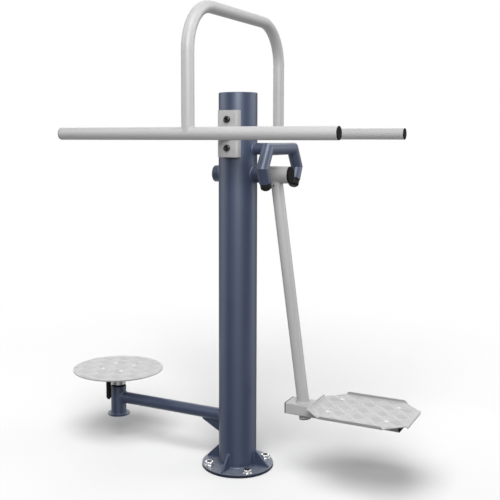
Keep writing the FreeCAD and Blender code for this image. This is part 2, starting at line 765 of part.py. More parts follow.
def build_beam():
    """The rectangular tube that the arm passes through, with its plugs and the lugs for the board."""
    body = new_body("beam_blank")
    sketch = new_sketch(body, "YZ_Plane")
    draw_outline(sketch, box_corners("beam_width", "beam_height"))
    wall = "beam_wall"
    inner = (
        (f"{wall} - beam_width / 2", wall),
        (f"beam_width / 2 - {wall}", wall),
        (f"beam_width / 2 - {wall}", f"beam_height - {wall}"),
        (f"{wall} - beam_width / 2", f"beam_height - {wall}"),
    )
    draw_outline(sketch, inner)
    pad(sketch, "beam_length")
    half = size_of("beam_width / 2")

    def long_edge(across):
        return lambda edge: len(edge.Vertexes) == 2 and abs(edge.Vertexes[0].X - edge.Vertexes[1].X) > 1 \
            and abs(abs(edge.Vertexes[0].Y) - across) < 1e-6

    round_edges(body, "beam_corner", long_edge(half))
    round_edges(body, "beam_corner - beam_wall", long_edge(half - size_of("beam_wall")))
    place(body, ("beam_start", "0", "beam_bottom"))
    beam = cut("footboard_beam", body, arm_core("beam_arm_space"))

    plug = new_body("beam_plug")
    sketch = new_sketch(plug, "YZ_Plane")
    draw_outline(sketch, box_corners("beam_width", "beam_height"))
    pad(sketch, "beam_plug_head")
    round_edges(plug, "beam_corner", lambda edge: len(edge.Vertexes) == 2
                and abs(edge.Vertexes[0].X - edge.Vertexes[1].X) > 1)
    spigot = new_body("beam_plug_spigot")
    sketch = new_sketch(spigot, "YZ_Plane")
    inset = "(beam_wall + fit_gap)"
    draw_outline(sketch, (
        (f"{inset} - beam_width / 2", inset),
        (f"beam_width / 2 - {inset}", inset),
        (f"beam_width / 2 - {inset}", f"beam_height - {inset}"),
        (f"{inset} - beam_width / 2", f"beam_height - {inset}"),
    ))
    pad(sketch, "plug_depth")
    round_edges(spigot, "beam_corner - beam_wall", lambda edge: len(edge.Vertexes) == 2
                and abs(edge.Vertexes[0].X - edge.Vertexes[1].X) > 1)
    place(spigot, ("-plug_depth", "0", "0"))
    whole = join("beam_plug_whole", plug, spigot)
    plugs = group("beam_end_plugs", whole, [
        (("beam_start", "0", "beam_bottom"), HALF_TURN),
        (("beam_start + beam_length", "0", "beam_bottom"), UP),
    ])

    lug = new_body("footboard_lug")
    root = "(beam_width / 2 + weld_gap)"
    tip = "(board_bolt_spread / 2 + lug_edge)"
    sketch = new_sketch(lug)
    draw_outline(sketch, (
        ("-lug_width / 2", root),
        ("lug_width / 2", root),
        ("lug_width / 2", tip),
        ("-lug_width / 2", tip),
    ))
    draw_circle(sketch, PLATE_HOLE, ("0", "board_bolt_spread / 2"))
    pad(sketch, "lug_thickness")
    level = f"{BEAM_TOP} - lug_thickness"
    places = []
    for end in SIDES:
        spot = (f"{BOARD_MIDDLE} + {end} * board_bolt_pitch / 2", "0", level)
        places.append((spot, UP))
        places.append((spot, HALF_TURN))
    lugs = group("footboard_lugs", lug, places)
    return [beam, plugs, lugs]


def build_lip(name, run, reach, levels, turn):
    """One bent lip of the board: an L-shaped strip with a rounded bend and sloped ends.

    The levels are those of the plate's face outside the bend, of its face inside it, and of the lip's edge.
    """
    outer, inner, tip = levels
    root = f"({reach} - board_thickness - 2 * board_bend)"
    strip = new_body(f"{name}_strip")
    sketch = new_sketch(strip, "YZ_Plane")
    draw_outline(sketch, (
        (root, outer),
        (reach, outer),
        (reach, tip),
        (f"{reach} - board_thickness", tip),
        (f"{reach} - board_thickness", inner),
        (root, inner),
    ))
    pad(sketch, run, middle=True)

    def bend_edge(across, level):
        place_of = (size_of(across), size_of(level))
        return lambda edge: abs(edge.CenterOfMass.y - place_of[0]) < 1e-6 \
            and abs(edge.CenterOfMass.z - place_of[1]) < 1e-6

    round_edges(strip, "board_bend + board_thickness", bend_edge(reach, outer))
    round_edges(strip, "board_bend", bend_edge(f"{reach} - board_thickness", inner))
    frame = new_body(f"{name}_frame")
    half = f"({run}) / 2"
    sketch = new_sketch(frame, "XZ_Plane")
    draw_outline(sketch, (
        (f"-{half}", outer),
        (half, outer),
        (half, inner),
        (f"{half} - lip_slope", tip),
        (f"lip_slope - {half}", tip),
        (f"-{half}", inner),
    ))
    pad(sketch, "2 * board_width", middle=True)
    lip = doc.addObject("Part::MultiCommon", name)
    lip.Shapes = [strip, frame]
    return place(lip, (BOARD_MIDDLE, "0", BEAM_TOP), turn)


def build_board():
    """The eight-sided tread plate, with three raised lips and a lowered one where it is stepped on."""
    half_long = "(board_length / 2)"
    half_wide = "(board_width / 2)"
    long_flat = f"({half_long} - board_corner_length)"
    wide_flat = f"({half_wide} - board_corner_width)"
    inset = "(board_thickness + 2 * board_bend)"
    plate = new_body("board_plate")
    sketch = new_sketch(plate)
    quarter = ((f"({half_long} - {inset})", wide_flat), (long_flat, f"({half_wide} - {inset})"))
    corners = [(x, y) for x, y in quarter]
    corners += [(f"-{x}", y) for x, y in reversed(quarter)]
    corners += [(f"-{x}", f"-{y}") for x, y in quarter]
    corners += [(x, f"-{y}") for x, y in reversed(quarter)]
    draw_outline(sketch, corners)
    bolts = []
    for end in SIDES:
        for side in SIDES:
            spot = (f"{end} * board_bolt_pitch / 2", f"{side} * board_bolt_spread / 2")
            draw_circle(sketch, PLATE_HOLE, spot)
            bolts.append((f"{BOARD_MIDDLE} + {spot[0]}", spot[1]))
    pad(sketch, "board_thickness")
    place(plate, (BOARD_MIDDLE, "0", BEAM_TOP))
    raised = ("0", "board_thickness", "board_thickness + lip_height")
    lowered = ("board_thickness", "0", "-lip_drop")
    lips = [
        build_lip("rear_lip", f"2 * {long_flat}", half_wide, raised, QUARTER_TURNS[0]),
        build_lip("inner_lip", f"2 * {wide_flat}", half_long, raised, QUARTER_TURNS[1]),
        build_lip("front_lip", f"2 * {long_flat}", half_wide, raised, QUARTER_TURNS[2]),
        build_lip("step_lip", f"2 * {wide_flat}", half_long, lowered, QUARTER_TURNS[3]),
    ]
    board = join("footboard", plate, *lips)

    grip = "board_thickness + lug_thickness + plate_nut_height + thread_spare"
    bolt = button_bolt("board_bolt", "plate_bolt_diameter", grip, "plate_head_diameter", "plate_head_height")
    heads = f"{BEAM_TOP} + board_thickness"
    studs = group("footboard_bolts", bolt, [((x, y, heads), UP) for x, y in bolts])
    under = f"{BEAM_TOP} - lug_thickness - plate_nut_height"
    plate_nut = nut("board_nut", "plate_nut_flats", "plate_bolt_diameter + 2 * fit_gap", "plate_nut_height")
    nuts = group("footboard_nuts", plate_nut, [((x, y, under), UP) for x, y in bolts])
    return [board, studs, nuts]


def build_twister_arm():
    """The arm from the post, its gusset, and the bearing hub that it carries."""
    axis = "-twister_offset"
    blank = tube("twister_arm_blank", "twister_arm_diameter", "twister_arm_diameter - 2 * twister_arm_wall",
                 "twister_offset", (axis, "0", "twister_arm_height"), ALONG_X)
    hub_space = rod("arm_twister_space", "twister_hub_diameter + 2 * weld_gap", "post_top", (axis, "0", "0"))
    post_space = rod("arm_post_space", "post_diameter + 2 * weld_gap", "post_top")
    arm = cut("twister_arm", blank, hub_space, post_space)

    rib = new_body("arm_gusset_blank")
    under = "(twister_arm_height - twister_arm_diameter / 2)"
    wall = f"-({POST_RADIUS} + weld_gap)"
    sketch = new_sketch(rib, "XZ_Plane")
    draw_outline(sketch, (
        (wall, f"{under} - arm_gusset_height"),
        (wall, f"{under} + cope_trim"),
        (f"{wall} - arm_gusset_length", f"{under} + cope_trim"),
        (f"{wall} - arm_gusset_length", f"{under} - gusset_nose"),
        (f"{wall} - gusset_nose", f"{under} - arm_gusset_height"),
    ))
    pad(sketch, "arm_gusset_thickness", middle=True)
    arm_space = rod("gusset_arm_space", "twister_arm_diameter + 2 * weld_gap", "twister_offset",
                    (axis, "0", "twister_arm_height"), ALONG_X)
    gusset = cut("arm_gusset", rib, arm_space)

    hub = tube("twister_hub", "twister_hub_diameter", "hub_bore", f"twister_hub_top - {FOOT_TOP}", (axis, "0", FOOT_TOP))
    foot = tube("twister_foot", "twister_foot_diameter", "twister_foot_bore", "twister_foot_thickness",
                (axis, "0", "twister_foot_bottom"))
    spots = ((axis, "0", "twister_hub_top"), (axis, "0", f"{TWISTER_BUSH_END} + bush_length"))
    pair = bushes("twister_bushes", "disc_collar_bottom - twister_hub_top - seal_gap", spots, DOWN)
    return [arm, gusset, hub, foot, pair]


def build_disc():
    """The turning disc on its spindle, with the finger that stops it against the arm."""
    axis = "-twister_offset"
    spindle_end = f"({TWISTER_BUSH_END} - run_gap)"
    core = rod("spindle_core", "shaft_diameter", f"{PLATE_BOTTOM} - {spindle_end}", (axis, "0", spindle_end))
    thread_length = "(lock_nut_height + thread_spare)"
    thread = rod("spindle_thread", "thread_diameter", thread_length, (axis, "0", f"{spindle_end} - {thread_length}"))
    spindle = join("spindle", core, thread)
    lock = lock_nut("spindle_nut", (axis, "0", spindle_end), DOWN)
    collar_bore = "(shaft_diameter + 2 * fit_gap)"

    flange = new_body("disc_flange")
    sketch = new_sketch(flange)
    draw_circle(sketch, "disc_collar_diameter")
    draw_circle(sketch, collar_bore)
    pad(sketch, f"{PLATE_BOTTOM} - disc_collar_bottom")
    holes = []
    for angle in PLATE_CORNERS:
        holes.append((f"disc_bolt_circle / 2 * cos({angle})", f"disc_bolt_circle / 2 * sin({angle})"))
    sketch = new_sketch(flange, "XY_Plane", f"{PLATE_BOTTOM} - disc_collar_bottom")
    draw_circle(sketch, "disc_plate_diameter")
    for spot in holes:
        draw_circle(sketch, PLATE_HOLE, spot)
    pad(sketch, "disc_plate_thickness")
    place(flange, (axis, "0", "disc_collar_bottom"))

    disc = new_body("twister_disc")
    sketch = new_sketch(disc)
    draw_circle(sketch, "disc_diameter")
    for spot in holes:
        draw_circle(sketch, PLATE_HOLE, spot)
    pad(sketch, "disc_thickness")
    place(disc, (axis, "0", PLATE_TOP))

    grip = "disc_thickness + disc_plate_thickness + plate_nut_height + thread_spare"
    bolt = button_bolt("disc_bolt", "plate_bolt_diameter", grip, "plate_head_diameter", "plate_head_height")
    spots = [(f"{axis} + {x}", y) for x, y in holes]
    studs = group("disc_bolts", bolt, [((x, y, "disc_top"), UP) for x, y in spots])
    under = f"{PLATE_BOTTOM} - plate_nut_height"
    disc_nut = nut("disc_nut", "plate_nut_flats", "plate_bolt_diameter + 2 * fit_gap", "plate_nut_height")
    nuts = group("disc_nuts", disc_nut, [((x, y, under), UP) for x, y in spots])

    finger = f"{axis} - turn_stop_radius"
    sleeve_bottom = "(turn_stop_bottom + turn_stop_tail)"
    pin = rod("stop_pin", "turn_stop_pin", f"{PLATE_BOTTOM} - turn_stop_bottom", (finger, "0", "turn_stop_bottom"))
    sleeve = tube("stop_sleeve", "turn_stop_diameter", "turn_stop_pin + 2 * fit_gap",
                  f"{PLATE_BOTTOM} - turn_stop_gap - {sleeve_bottom}", (finger, "0", sleeve_bottom))
    return [spindle, lock, flange, disc, studs, nuts, pin, sleeve]


def check(pieces):
    """Stop before anything is written if an object failed or a piece isn't a sound solid."""
    for thing in doc.Objects:
        if "Invalid" in thing.State or "Error" in thing.State:
            raise RuntimeError(f"{thing.Name} failed: {thing.State}")
    for piece in pieces:
        if piece.Shape.isNull() or not piece.Shape.isValid() or not piece.Shape.Solids:
            raise RuntimeError(f"{piece.Label} is not a sound solid")


def main():
    fill_sheet()
    pieces = build_base() + build_post() + build_grips() + build_pivot() + build_yoke() + build_swing()
    pieces += build_beam() + build_board() + build_twister_arm() + build_disc()
    doc.recompute()
    check(pieces)
    os.makedirs("parts", exist_ok=True)
    for piece in pieces:
        piece.Shape.exportStep(f"parts/{piece.Label}.step")
    print(f"{len(pieces)} pieces, {sum(len(piece.Shape.Solids) for piece in pieces)} solids")


main()
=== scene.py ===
# %% [markdown]
# # An outdoor twister and surfer
# The station stands on one round post. A disc turns on a low arm at the left, and a footboard
# swings under a leaning arm at the right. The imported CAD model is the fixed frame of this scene, so
# the tubes and plates are here already. The lesson dresses them: finishes first, then the details
# that a mesh does better than a solid, then floor, light and camera.

# %% Load the frame
import json
import math

import bmesh
import bpy
import numpy as np
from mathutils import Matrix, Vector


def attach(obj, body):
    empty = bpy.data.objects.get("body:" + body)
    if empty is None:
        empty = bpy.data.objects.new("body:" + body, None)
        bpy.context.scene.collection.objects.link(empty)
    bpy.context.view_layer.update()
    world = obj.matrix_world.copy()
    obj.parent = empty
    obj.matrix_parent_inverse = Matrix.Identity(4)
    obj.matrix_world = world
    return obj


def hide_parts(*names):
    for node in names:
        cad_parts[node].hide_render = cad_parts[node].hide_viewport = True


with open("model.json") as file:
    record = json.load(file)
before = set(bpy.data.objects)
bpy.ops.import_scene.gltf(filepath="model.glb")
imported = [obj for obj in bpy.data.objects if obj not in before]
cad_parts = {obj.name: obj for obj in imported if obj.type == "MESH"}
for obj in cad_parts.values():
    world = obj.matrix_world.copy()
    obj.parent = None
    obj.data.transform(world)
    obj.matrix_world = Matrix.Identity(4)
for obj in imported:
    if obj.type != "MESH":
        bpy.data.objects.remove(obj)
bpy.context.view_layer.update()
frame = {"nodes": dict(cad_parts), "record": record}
nodes = frame["nodes"]
MM = 0.001

# %% [markdown]
# ## Shader maths as Python
# A finish is a small formula: noise times a strength, one minus a mask. Wiring Math nodes by hand
# hides that formula, so one class wraps a socket and lets Python's operators add the nodes. A few
# helpers then name what every finish needs: noise, a mix of two colours, a ramp and a bump.

# %% A socket that can be added and multiplied
class Wire:
    """One socket of a material's node tree. A sum or product of wires adds a Math node."""

    def __init__(self, tree, socket=None):
        self.tree = tree
        self.socket = socket

    def node(self, kind, settings=None, inputs=None, output=0):
        """Add a node of one kind: its settings first, then a value or a link for each socket."""
        made = self.tree.nodes.new("ShaderNode" + kind)
        for key, value in (settings or {}).items():
            setattr(made, key, value)
        for key, value in (inputs or {}).items():
            if isinstance(value, Wire):
                self.tree.links.new(value.socket, made.inputs[key])
            else:
                made.inputs[key].default_value = value
        return Wire(self.tree, None if output is None else made.outputs[output])

    def math(self, operation, first, second):
        """Add a Math node of one operation on two wires or numbers."""
        return self.node("Math", {"operation": operation}, {0: first, 1: second})

    def __add__(self, other):
        return self.math("ADD", self, other)

    def __sub__(self, other):
        return self.math("SUBTRACT", self, other)

    def __rsub__(self, other):
        return self.math("SUBTRACT", other, self)

    def __mul__(self, other):
        return self.math("MULTIPLY", self, other)

    __radd__ = __add__
    __rmul__ = __mul__


print("made the class", Wire.__name__)

# %% Building blocks of a finish
WHITE = (1.0, 1.0, 1.0)


def grey(tone):
    """A colour with the same share of red, green and blue."""
    return (tone, tone, tone)


def opaque(colour):
    """A colour as a socket takes it: a wire as it is, and three numbers with a full alpha."""
    return colour if isinstance(colour, Wire) else (*colour, 1.0)


def new_finish(name):
    """A material with an empty tree, and a wire to start its formulas from."""
    finish = bpy.data.materials.new(name)
    finish.use_nodes = True
    finish.node_tree.nodes.clear()
    return finish, Wire(finish.node_tree)


def noise(wire, scale, detail, stretch=(1.0, 1.0, 1.0)):
    """Noise on Object coordinates, from 0 to 1, with scale in waves per metre."""
    place = wire.node("TexCoord", output="Object")
    place = wire.node("Mapping", {}, {"Vector": place, "Scale": stretch})
    return wire.node("TexNoise", {}, {"Vector": place, "Scale": scale, "Detail": detail})


def tint(wire, share, first, second):
    """Mix two colours by a share from 0 to 1."""
    return wire.node(
        "Mix", {"data_type": "RGBA"}, {0: share, 6: opaque(first), 7: opaque(second)}, output=2
    )


def ramp(wire, value, low, high, shape="SMOOTHSTEP"):
    """A step from 0 to 1 between two values, soft at both ends or straight."""
    return wire.node(
        "MapRange", {"interpolation_type": shape}, {0: value, 1: low, 2: high, 3: 0.0, 4: 1.0}
    )


def bump(wire, height, depth, strength):
    """A bump of one depth in metres from a height that goes from 0 to 1."""
    sockets = {"Height": height, "Distance": depth, "Strength": strength}
    return wire.node("Bump", {}, sockets, output="Normal")


def close_finish(wire, sockets):
    """End a tree with a Principled surface that has these sockets."""
    surface = wire.node("BsdfPrincipled", {}, sockets)
    wire.node("OutputMaterial", {}, {"Surface": surface}, output=None)


HELPERS = (new_finish, noise, tint, ramp, bump, close_finish)
print("helpers for finishes:", [helper.__name__ for helper in HELPERS])

# %% [markdown]
# ## Powder coat
# Post, yoke and twister arm are slate blue, the grips and the swinging arm silver grey. Powder coat
# is a thick baked skin: satin, with a fine orange peel of about a millimetre and slow clouds of
# tone. Noise at two sizes gives both, one through the bump and one through the colour. The base
# flange gets darker tones, which are painted shade on its rim, and a paler tone on its flat top,
# which is a painted sheen of light from above.

# %% Paints
# The paler tone painted on the flange's top as a sheen of light from above, and the level and edge where it
# starts.
PAINTED_SHEEN = (0.156, 0.172, 0.214)
SHEEN_LEVEL = 0.0099
SHEEN_EDGE = 0.0008
BLUE_SHINE = (0.82, 0.91, 1.0)


def powder_coat(name, dark, light, rough, gloss, shine, sheen_level=None):
    """Two tones mixed by slow noise, with a fine orange peel in the normal and a tinted shine.

    Where a piece has a flat top at one level, a paler tone is painted on it above that level as a sheen of
    light.
    """
    finish, wire = new_finish(name)
    clouds = noise(wire, scale=7.0, detail=4.0)
    speckle = noise(wire, scale=2600.0, detail=1.0)
    peel = noise(wire, scale=620.0, detail=2.0)
    colour = tint(wire, clouds * 0.7 + speckle * 0.3, dark, light)
    # Above a level the colour is mixed towards a paler tone: a painted sheen of light on a flat top.
    if sheen_level is not None:
        place = wire.node("TexCoord", output="Object")
        height = wire.node("SeparateXYZ", {}, {0: place}, output="Z")
        sheen_share = ramp(wire, height, sheen_level - SHEEN_EDGE, sheen_level, "LINEAR")
        sheen_share = sheen_share * (noise(wire, scale=60.0, detail=3.0) * 0.5 + 0.5)
        colour = tint(wire, sheen_share, colour, PAINTED_SHEEN)
    close_finish(wire, {
        "Base Color": colour,
        "Roughness": clouds * 0.10 + rough,
        "Specular IOR Level": gloss,
        "Specular Tint": opaque(shine),
        "Normal": bump(wire, peel, depth=0.0001, strength=0.5),
    })
    return finish


blue_paint = powder_coat(
    "slate_powder_coat", (0.027, 0.036, 0.070), (0.034, 0.045, 0.086),
    rough=0.36, gloss=0.95, shine=BLUE_SHINE,
)
# The flange's darker tones are painted shade on its rim, and its top gets the painted sheen.
shade_and_sheen_blue = powder_coat(
    "shade_and_sheen_powder_coat", (0.010, 0.013, 0.025), (0.014, 0.018, 0.034),
    rough=0.42, gloss=0.45, shine=BLUE_SHINE, sheen_level=SHEEN_LEVEL,
)
silver_paint = powder_coat(
    "silver_powder_coat", grey(0.31), grey(0.36), rough=0.38, gloss=0.6, shine=WHITE
)
print("paints:", blue_paint.name, shade_and_sheen_blue.name, silver_paint.name)

# %% [markdown]
# ## Tread plate, bolts and plugs
# The disc and the footboard are rolled aluminium tread plate with a dull skin. Rolling leaves fine
# streaks, so one noise is stretched along the sheet. Plugs are moulded and have a fine grain, and the
# rubber of the stops has a coarser one.

# %% Bare metals
ALONG_SHEET = (0.06, 1.0, 1.0)


def bare_metal(name, dark, light, rough, streaks, depth, metal=1.0):
    """Metal with streaks along X and slow clouds that change tone and roughness."""
    finish, wire = new_finish(name)
    clouds = noise(wire, scale=26.0, detail=3.0)
    grain = noise(wire, scale=streaks, detail=2.0, stretch=ALONG_SHEET)
    share = clouds * 0.6 + grain * 0.4
    close_finish(wire, {
        "Base Color": tint(wire, share, dark, light),
        "Roughness": share * 0.16 + rough,
        "Metallic": metal,
        "Normal": bump(wire, grain, depth, strength=0.6),
    })
    return finish


tread_plate = bare_metal(
    "tread_plate", grey(0.53), grey(0.60), rough=0.52, streaks=900.0, depth=0.00006, metal=0.45
)
worn_bars = bare_metal(
    "tread_bar_tops", grey(0.53), grey(0.62), rough=0.34, streaks=900.0, depth=0.00004, metal=0.55
)
bright_chrome = bare_metal(
    "bright_zinc", (0.74, 0.74, 0.75), grey(0.86), rough=0.12, streaks=700.0, depth=0.00003
)
stainless = bare_metal(
    "stainless", grey(0.66), grey(0.78), rough=0.22, streaks=800.0, depth=0.00003
)
plain_steel = bare_metal(
    "turned_steel", grey(0.46), grey(0.60), rough=0.30, streaks=800.0, depth=0.00005
)
print("metals:", [metal.name for metal in (tread_plate, worn_bars, bright_chrome, stainless, plain_steel)])

# %% Plastic, rubber and black steel
def moulded(name, dark, light, rough, grain_size, depth, gloss):
    """Black plastic, rubber or blackened steel with an even grain."""
    finish, wire = new_finish(name)
    grain = noise(wire, scale=grain_size, detail=2.0)
    clouds = noise(wire, scale=40.0, detail=2.0)
    close_finish(wire, {
        "Base Color": tint(wire, clouds, dark, light),
        "Roughness": clouds * 0.12 + rough,
        "Specular IOR Level": gloss,
        "Normal": bump(wire, grain, depth, strength=0.6),
    })
    return finish


black_plastic = moulded(
    "moulded_plug", (0.005, 0.005, 0.006), (0.009, 0.009, 0.010),
    rough=0.58, grain_size=1500.0, depth=0.00008, gloss=0.07,
)
black_rubber = moulded(
    "stop_rubber", grey(0.006), grey(0.010), rough=0.44, grain_size=900.0, depth=0.00010, gloss=0.20
)
black_steel = moulded(
    "blackened_steel", grey(0.006), grey(0.011), rough=0.20, grain_size=700.0, depth=0.00003, gloss=0.7
)
print("black finishes:", black_plastic.name, black_rubber.name, black_steel.name)

# %% Finishes on the CAD nodes
FINISHES = {
    "blue_paint": blue_paint,
    "silver_paint": silver_paint,
    "tread_plate": tread_plate,
    "black_plastic": black_plastic,
    "black_rubber": black_rubber,
    "black_steel": black_steel,
    "bright_chrome": bright_chrome,
    "stainless": stainless,
    "plain_steel": plain_steel,
}
for subpart in frame["record"]["subparts"]:
    mesh = nodes[subpart["node"]].data
    mesh.materials.clear()
    mesh.materials.append(FINISHES[subpart["material_slot"]])
# The flange gets the finish with painted shade on its rim and a painted sheen on its top.
nodes["base_flange"].data.materials[0] = shade_and_sheen_blue

# %% [markdown]
# ## Surfaces on a grid
# Every new piece is a stack of rings: a grid of points whose columns close into a loop. A bolt is a
# stack of circles and hexagons, a weld is a stack of small sections along the seam. One function
# turns such stacks into a mesh, welds the seams and poles, and points the faces outwards.

# %% From stacks of rings to a piece
def ring_faces(rows, columns, start):
    """Quads between each ring and the next, with the columns closed into a loop."""
    row, column = np.meshgrid(np.arange(rows - 1), np.arange(columns), indexing="ij")
    here = row * columns + column
    beside = row * columns + (column + 1) % columns
    quads = np.stack([here, beside, beside + columns, here + columns], -1)
    return quads.reshape(-1, 4) + start


def add_piece(name, stacks, slot, body, crease=32.0, finish=None):
    """One object from several closed stacks, each an array of rings by columns by xyz in metres."""
    points = np.concatenate([stack.reshape(-1, 3) for stack in stacks])
    starts = np.cumsum([0] + [stack.shape[0] * stack.shape[1] for stack in stacks])
    quads = np.concatenate([
        ring_faces(stack.shape[0], stack.shape[1], start) for stack, start in zip(stacks, starts)
    ])
    mesh = bpy.data.meshes.new(name)
    mesh.vertices.add(len(points))
    mesh.vertices.foreach_set("co", points.ravel())
    mesh.loops.add(quads.size)
    mesh.loops.foreach_set("vertex_index", quads.ravel())
    mesh.polygons.add(len(quads))
    mesh.polygons.foreach_set("loop_start", np.arange(len(quads)) * 4)
    mesh.update(calc_edges=True)
    shell = bmesh.new()
    shell.from_mesh(mesh)
    bmesh.ops.remove_doubles(shell, verts=shell.verts, dist=1e-6)
    bmesh.ops.dissolve_degenerate(shell, edges=shell.edges, dist=1e-7)
    bmesh.ops.recalc_face_normals(shell, faces=shell.faces)
    shell.to_mesh(mesh)
    shell.free()
    mesh.polygons.foreach_set("use_smooth", np.ones(len(mesh.polygons), bool))
    mesh.set_sharp_from_angle(angle=math.radians(crease))
    mesh.materials.append(finish or FINISHES[slot])
    piece = bpy.data.objects.new(name, mesh)
    bpy.context.scene.collection.objects.link(piece)
    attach(piece, body)
    print(name, "faces:", len(mesh.polygons))
    return piece


print("a ring of 6 points and the next one have", len(ring_faces(2, 6, 0)), "faces between them")

# %% Turned shapes
FRONT = (0.0, -1.0, 0.0)
REAR = (0.0, 1.0, 0.0)
LEFT = (-1.0, 0.0, 0.0)
RIGHT = (1.0, 0.0, 0.0)
UP = (0.0, 0.0, 1.0)
DOWN = (0.0, 0.0, -1.0)
SIDES = (-1.0, 1.0)
NO_FLATS = 1e6
EDGE_STEPS = 6


def unit(vectors):
    """Vectors divided by their lengths."""
    return vectors / np.linalg.norm(vectors, axis=-1, keepdims=True)


def cross_axes(axis):
    """Two unit vectors that are square to an axis and to each other, and the axis as a unit vector."""
    axis = unit(np.array(axis, float))
    helper = np.array(UP) if abs(axis[2]) < 0.9 else np.array(RIGHT)
    first = unit(np.cross(helper, axis))
    return first, np.cross(axis, first), axis


def turned(rows, place, axis, columns=48):
    """A turned shape from rows of (radius, height) or (radius, height, flats) in millimetres.

    A ring's radius is the smaller of the radius and the hexagon flats / 2 / cos(angle from the nearest flat).
    """
    table = np.array([(row + (0.0,))[:3] for row in rows])
    angle = np.arange(columns) * 2.0 * np.pi / columns
    from_flat = np.mod(angle, np.pi / 3.0) - np.pi / 6.0
    flats = np.where(table[:, 2] > 0.0, table[:, 2], NO_FLATS)
    radius = np.minimum(table[:, :1], flats[:, None] / 2.0 / np.cos(from_flat))
    first, second, along = cross_axes(axis)
    across = radius[..., None] * (np.cos(angle)[:, None] * first + np.sin(angle)[:, None] * second)
    return (np.array(place) + across + table[:, 1, None, None] * along) * MM


def edge_rows(radius, height, edge):
    """Rows of a rounded outer edge: a quarter circle from the top face down to the side."""
    turn = np.linspace(0.0, np.pi / 2.0, EDGE_STEPS)
    return [(radius - edge + edge * math.sin(t), height - edge + edge * math.cos(t)) for t in turn]


print("a rounded edge has", len(edge_rows(10.0, 5.0, 1.0)), "rows")

# %% [markdown]
# ## Fasteners
# On the real object the saddles are held by two through bolts with black round heads and hexagon
# sockets, the two plates by low domed bolts, and the flange by bright nuts on washers. The CAD
# solids give their place and size. Here each gets its dome, socket or bevel as rings of a stack.

# %% Rings of bolts, nuts and washers
DOME_STEPS = 8
DOME_RIM = 0.7
SHANK_BEVEL = 0.8
NUT_STEPS = 4
NUT_FACE = 0.475
NUT_SLOPE = 0.55
WASHER_BEVEL = 0.5
OUT_OF_HEXAGON = 50.0
SOCKET_TIP = 6.5
SOCKET_DEPTH = 6.0
SOCKET_MOUTH = 0.4
SOCKET_FLARE = 0.8


def domed_bolt_rows(head, rise, shank, length):
    """A low dome r = head / 2 * sin t, h = rise * cos t on a plain shank that ends in a bevel."""
    turn = np.linspace(0.0, np.pi / 2.0, DOME_STEPS)
    dome = [(head / 2.0 * math.sin(t), DOME_RIM + (rise - DOME_RIM) * math.cos(t)) for t in turn]
    return dome + [
        (head / 2.0, 0.0), (shank / 2.0, 0.0), (shank / 2.0, SHANK_BEVEL - length),
        (shank / 2.0 - SHANK_BEVEL, -length), (0.0, -length),
    ]


def nut_rows(flats, bore, height, start=0.0):
    """A hexagon with both faces bevelled by a cone, round a plain bore."""
    corner = flats / math.sqrt(3.0) + 0.01
    face = NUT_FACE * flats
    shares = [i / NUT_STEPS for i in range(NUT_STEPS + 1)]
    slope = [(face + (corner - face) * share, (corner - face) * NUT_SLOPE * share) for share in shares]
    lower = [(radius, start + rise, flats) for radius, rise in slope]
    upper = [(radius, start + height - rise, flats) for radius, rise in reversed(slope)]
    inside = (bore / 2.0, start)
    return [inside] + lower + upper + [(bore / 2.0, start + height), inside]


def washer_rows(outside, bore, thickness):
    """A flat ring with a small bevel on its upper edge."""
    inside = (bore / 2.0, 0.0)
    return [
        inside, (outside / 2.0, 0.0), (outside / 2.0, thickness - WASHER_BEVEL),
        (outside / 2.0 - WASHER_BEVEL, thickness), (bore / 2.0, thickness), inside,
    ]


def socket_bolt_rows(head, rise, edge, socket, shank, length):
    """A round head with a rounded edge and a hexagon socket with a flared mouth, on a long shank."""
    hollow = [
        (0.0, rise - SOCKET_TIP), (OUT_OF_HEXAGON, rise - SOCKET_DEPTH, socket),
        (OUT_OF_HEXAGON, rise - SOCKET_MOUTH, socket), (OUT_OF_HEXAGON, rise, socket + SOCKET_FLARE),
    ]
    return hollow + edge_rows(head / 2.0, rise, edge) + [
        (head / 2.0, 0.0), (shank / 2.0, 0.0), (shank / 2.0, -length), (0.0, -length),
    ]


print("a nut has", len(nut_rows(flats=19.0, bore=12.1, height=10.0)), "rows")

# %% Bolts and nuts of the saddles
GRIP_HEIGHT = 1228.0
SADDLE_FACE = 84.85
SADDLE_BOLT_LEVELS = (GRIP_HEIGHT - 50.0, GRIP_HEIGHT + 50.0)

saddle_bolt = socket_bolt_rows(
    head=24.0, rise=10.0, edge=4.0, socket=10.0, shank=12.0, length=2.0 * SADDLE_FACE + 10.0
)
saddle_bolts = add_piece(
    "saddle_socket_bolts",
    [turned(saddle_bolt, (0.0, -SADDLE_FACE, level), FRONT) for level in SADDLE_BOLT_LEVELS],
    "black_steel", "frame",
)
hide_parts("saddle_bolts")

saddle_nut = nut_rows(flats=19.0, bore=12.1, height=10.0)
saddle_nuts = add_piece(
    "saddle_bevelled_nuts",
    [turned(saddle_nut, (0.0, SADDLE_FACE, level), REAR) for level in SADDLE_BOLT_LEVELS],
    "black_steel", "frame",
)
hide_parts("saddle_nuts")

# %% Nuts of the base flange
FLANGE_TOP = 10.0
ANCHOR_RADIUS = 110.0
ANCHOR_BORE = 21.0
WASHER_THICKNESS = 3.0
CORNER_TURNS = np.radians([45.0, 135.0, 225.0, 315.0])


def places_round(middle, radius, level):
    """Four places on a circle about an upright axis at x = middle, on the diagonals."""
    return [(middle + radius * math.cos(t), radius * math.sin(t), level) for t in CORNER_TURNS]


anchor_places = places_round(0.0, ANCHOR_RADIUS, FLANGE_TOP)
anchor_nut = nut_rows(flats=30.0, bore=ANCHOR_BORE, height=11.0, start=WASHER_THICKNESS)
anchor_washer = washer_rows(outside=37.0, bore=ANCHOR_BORE, thickness=WASHER_THICKNESS)
anchor_stacks = [turned(rows, place, UP) for rows in (anchor_nut, anchor_washer) for place in anchor_places]
anchor_nuts = add_piece("anchor_nuts_on_washers", anchor_stacks, "bright_chrome", "frame")
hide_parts("anchor_nuts")

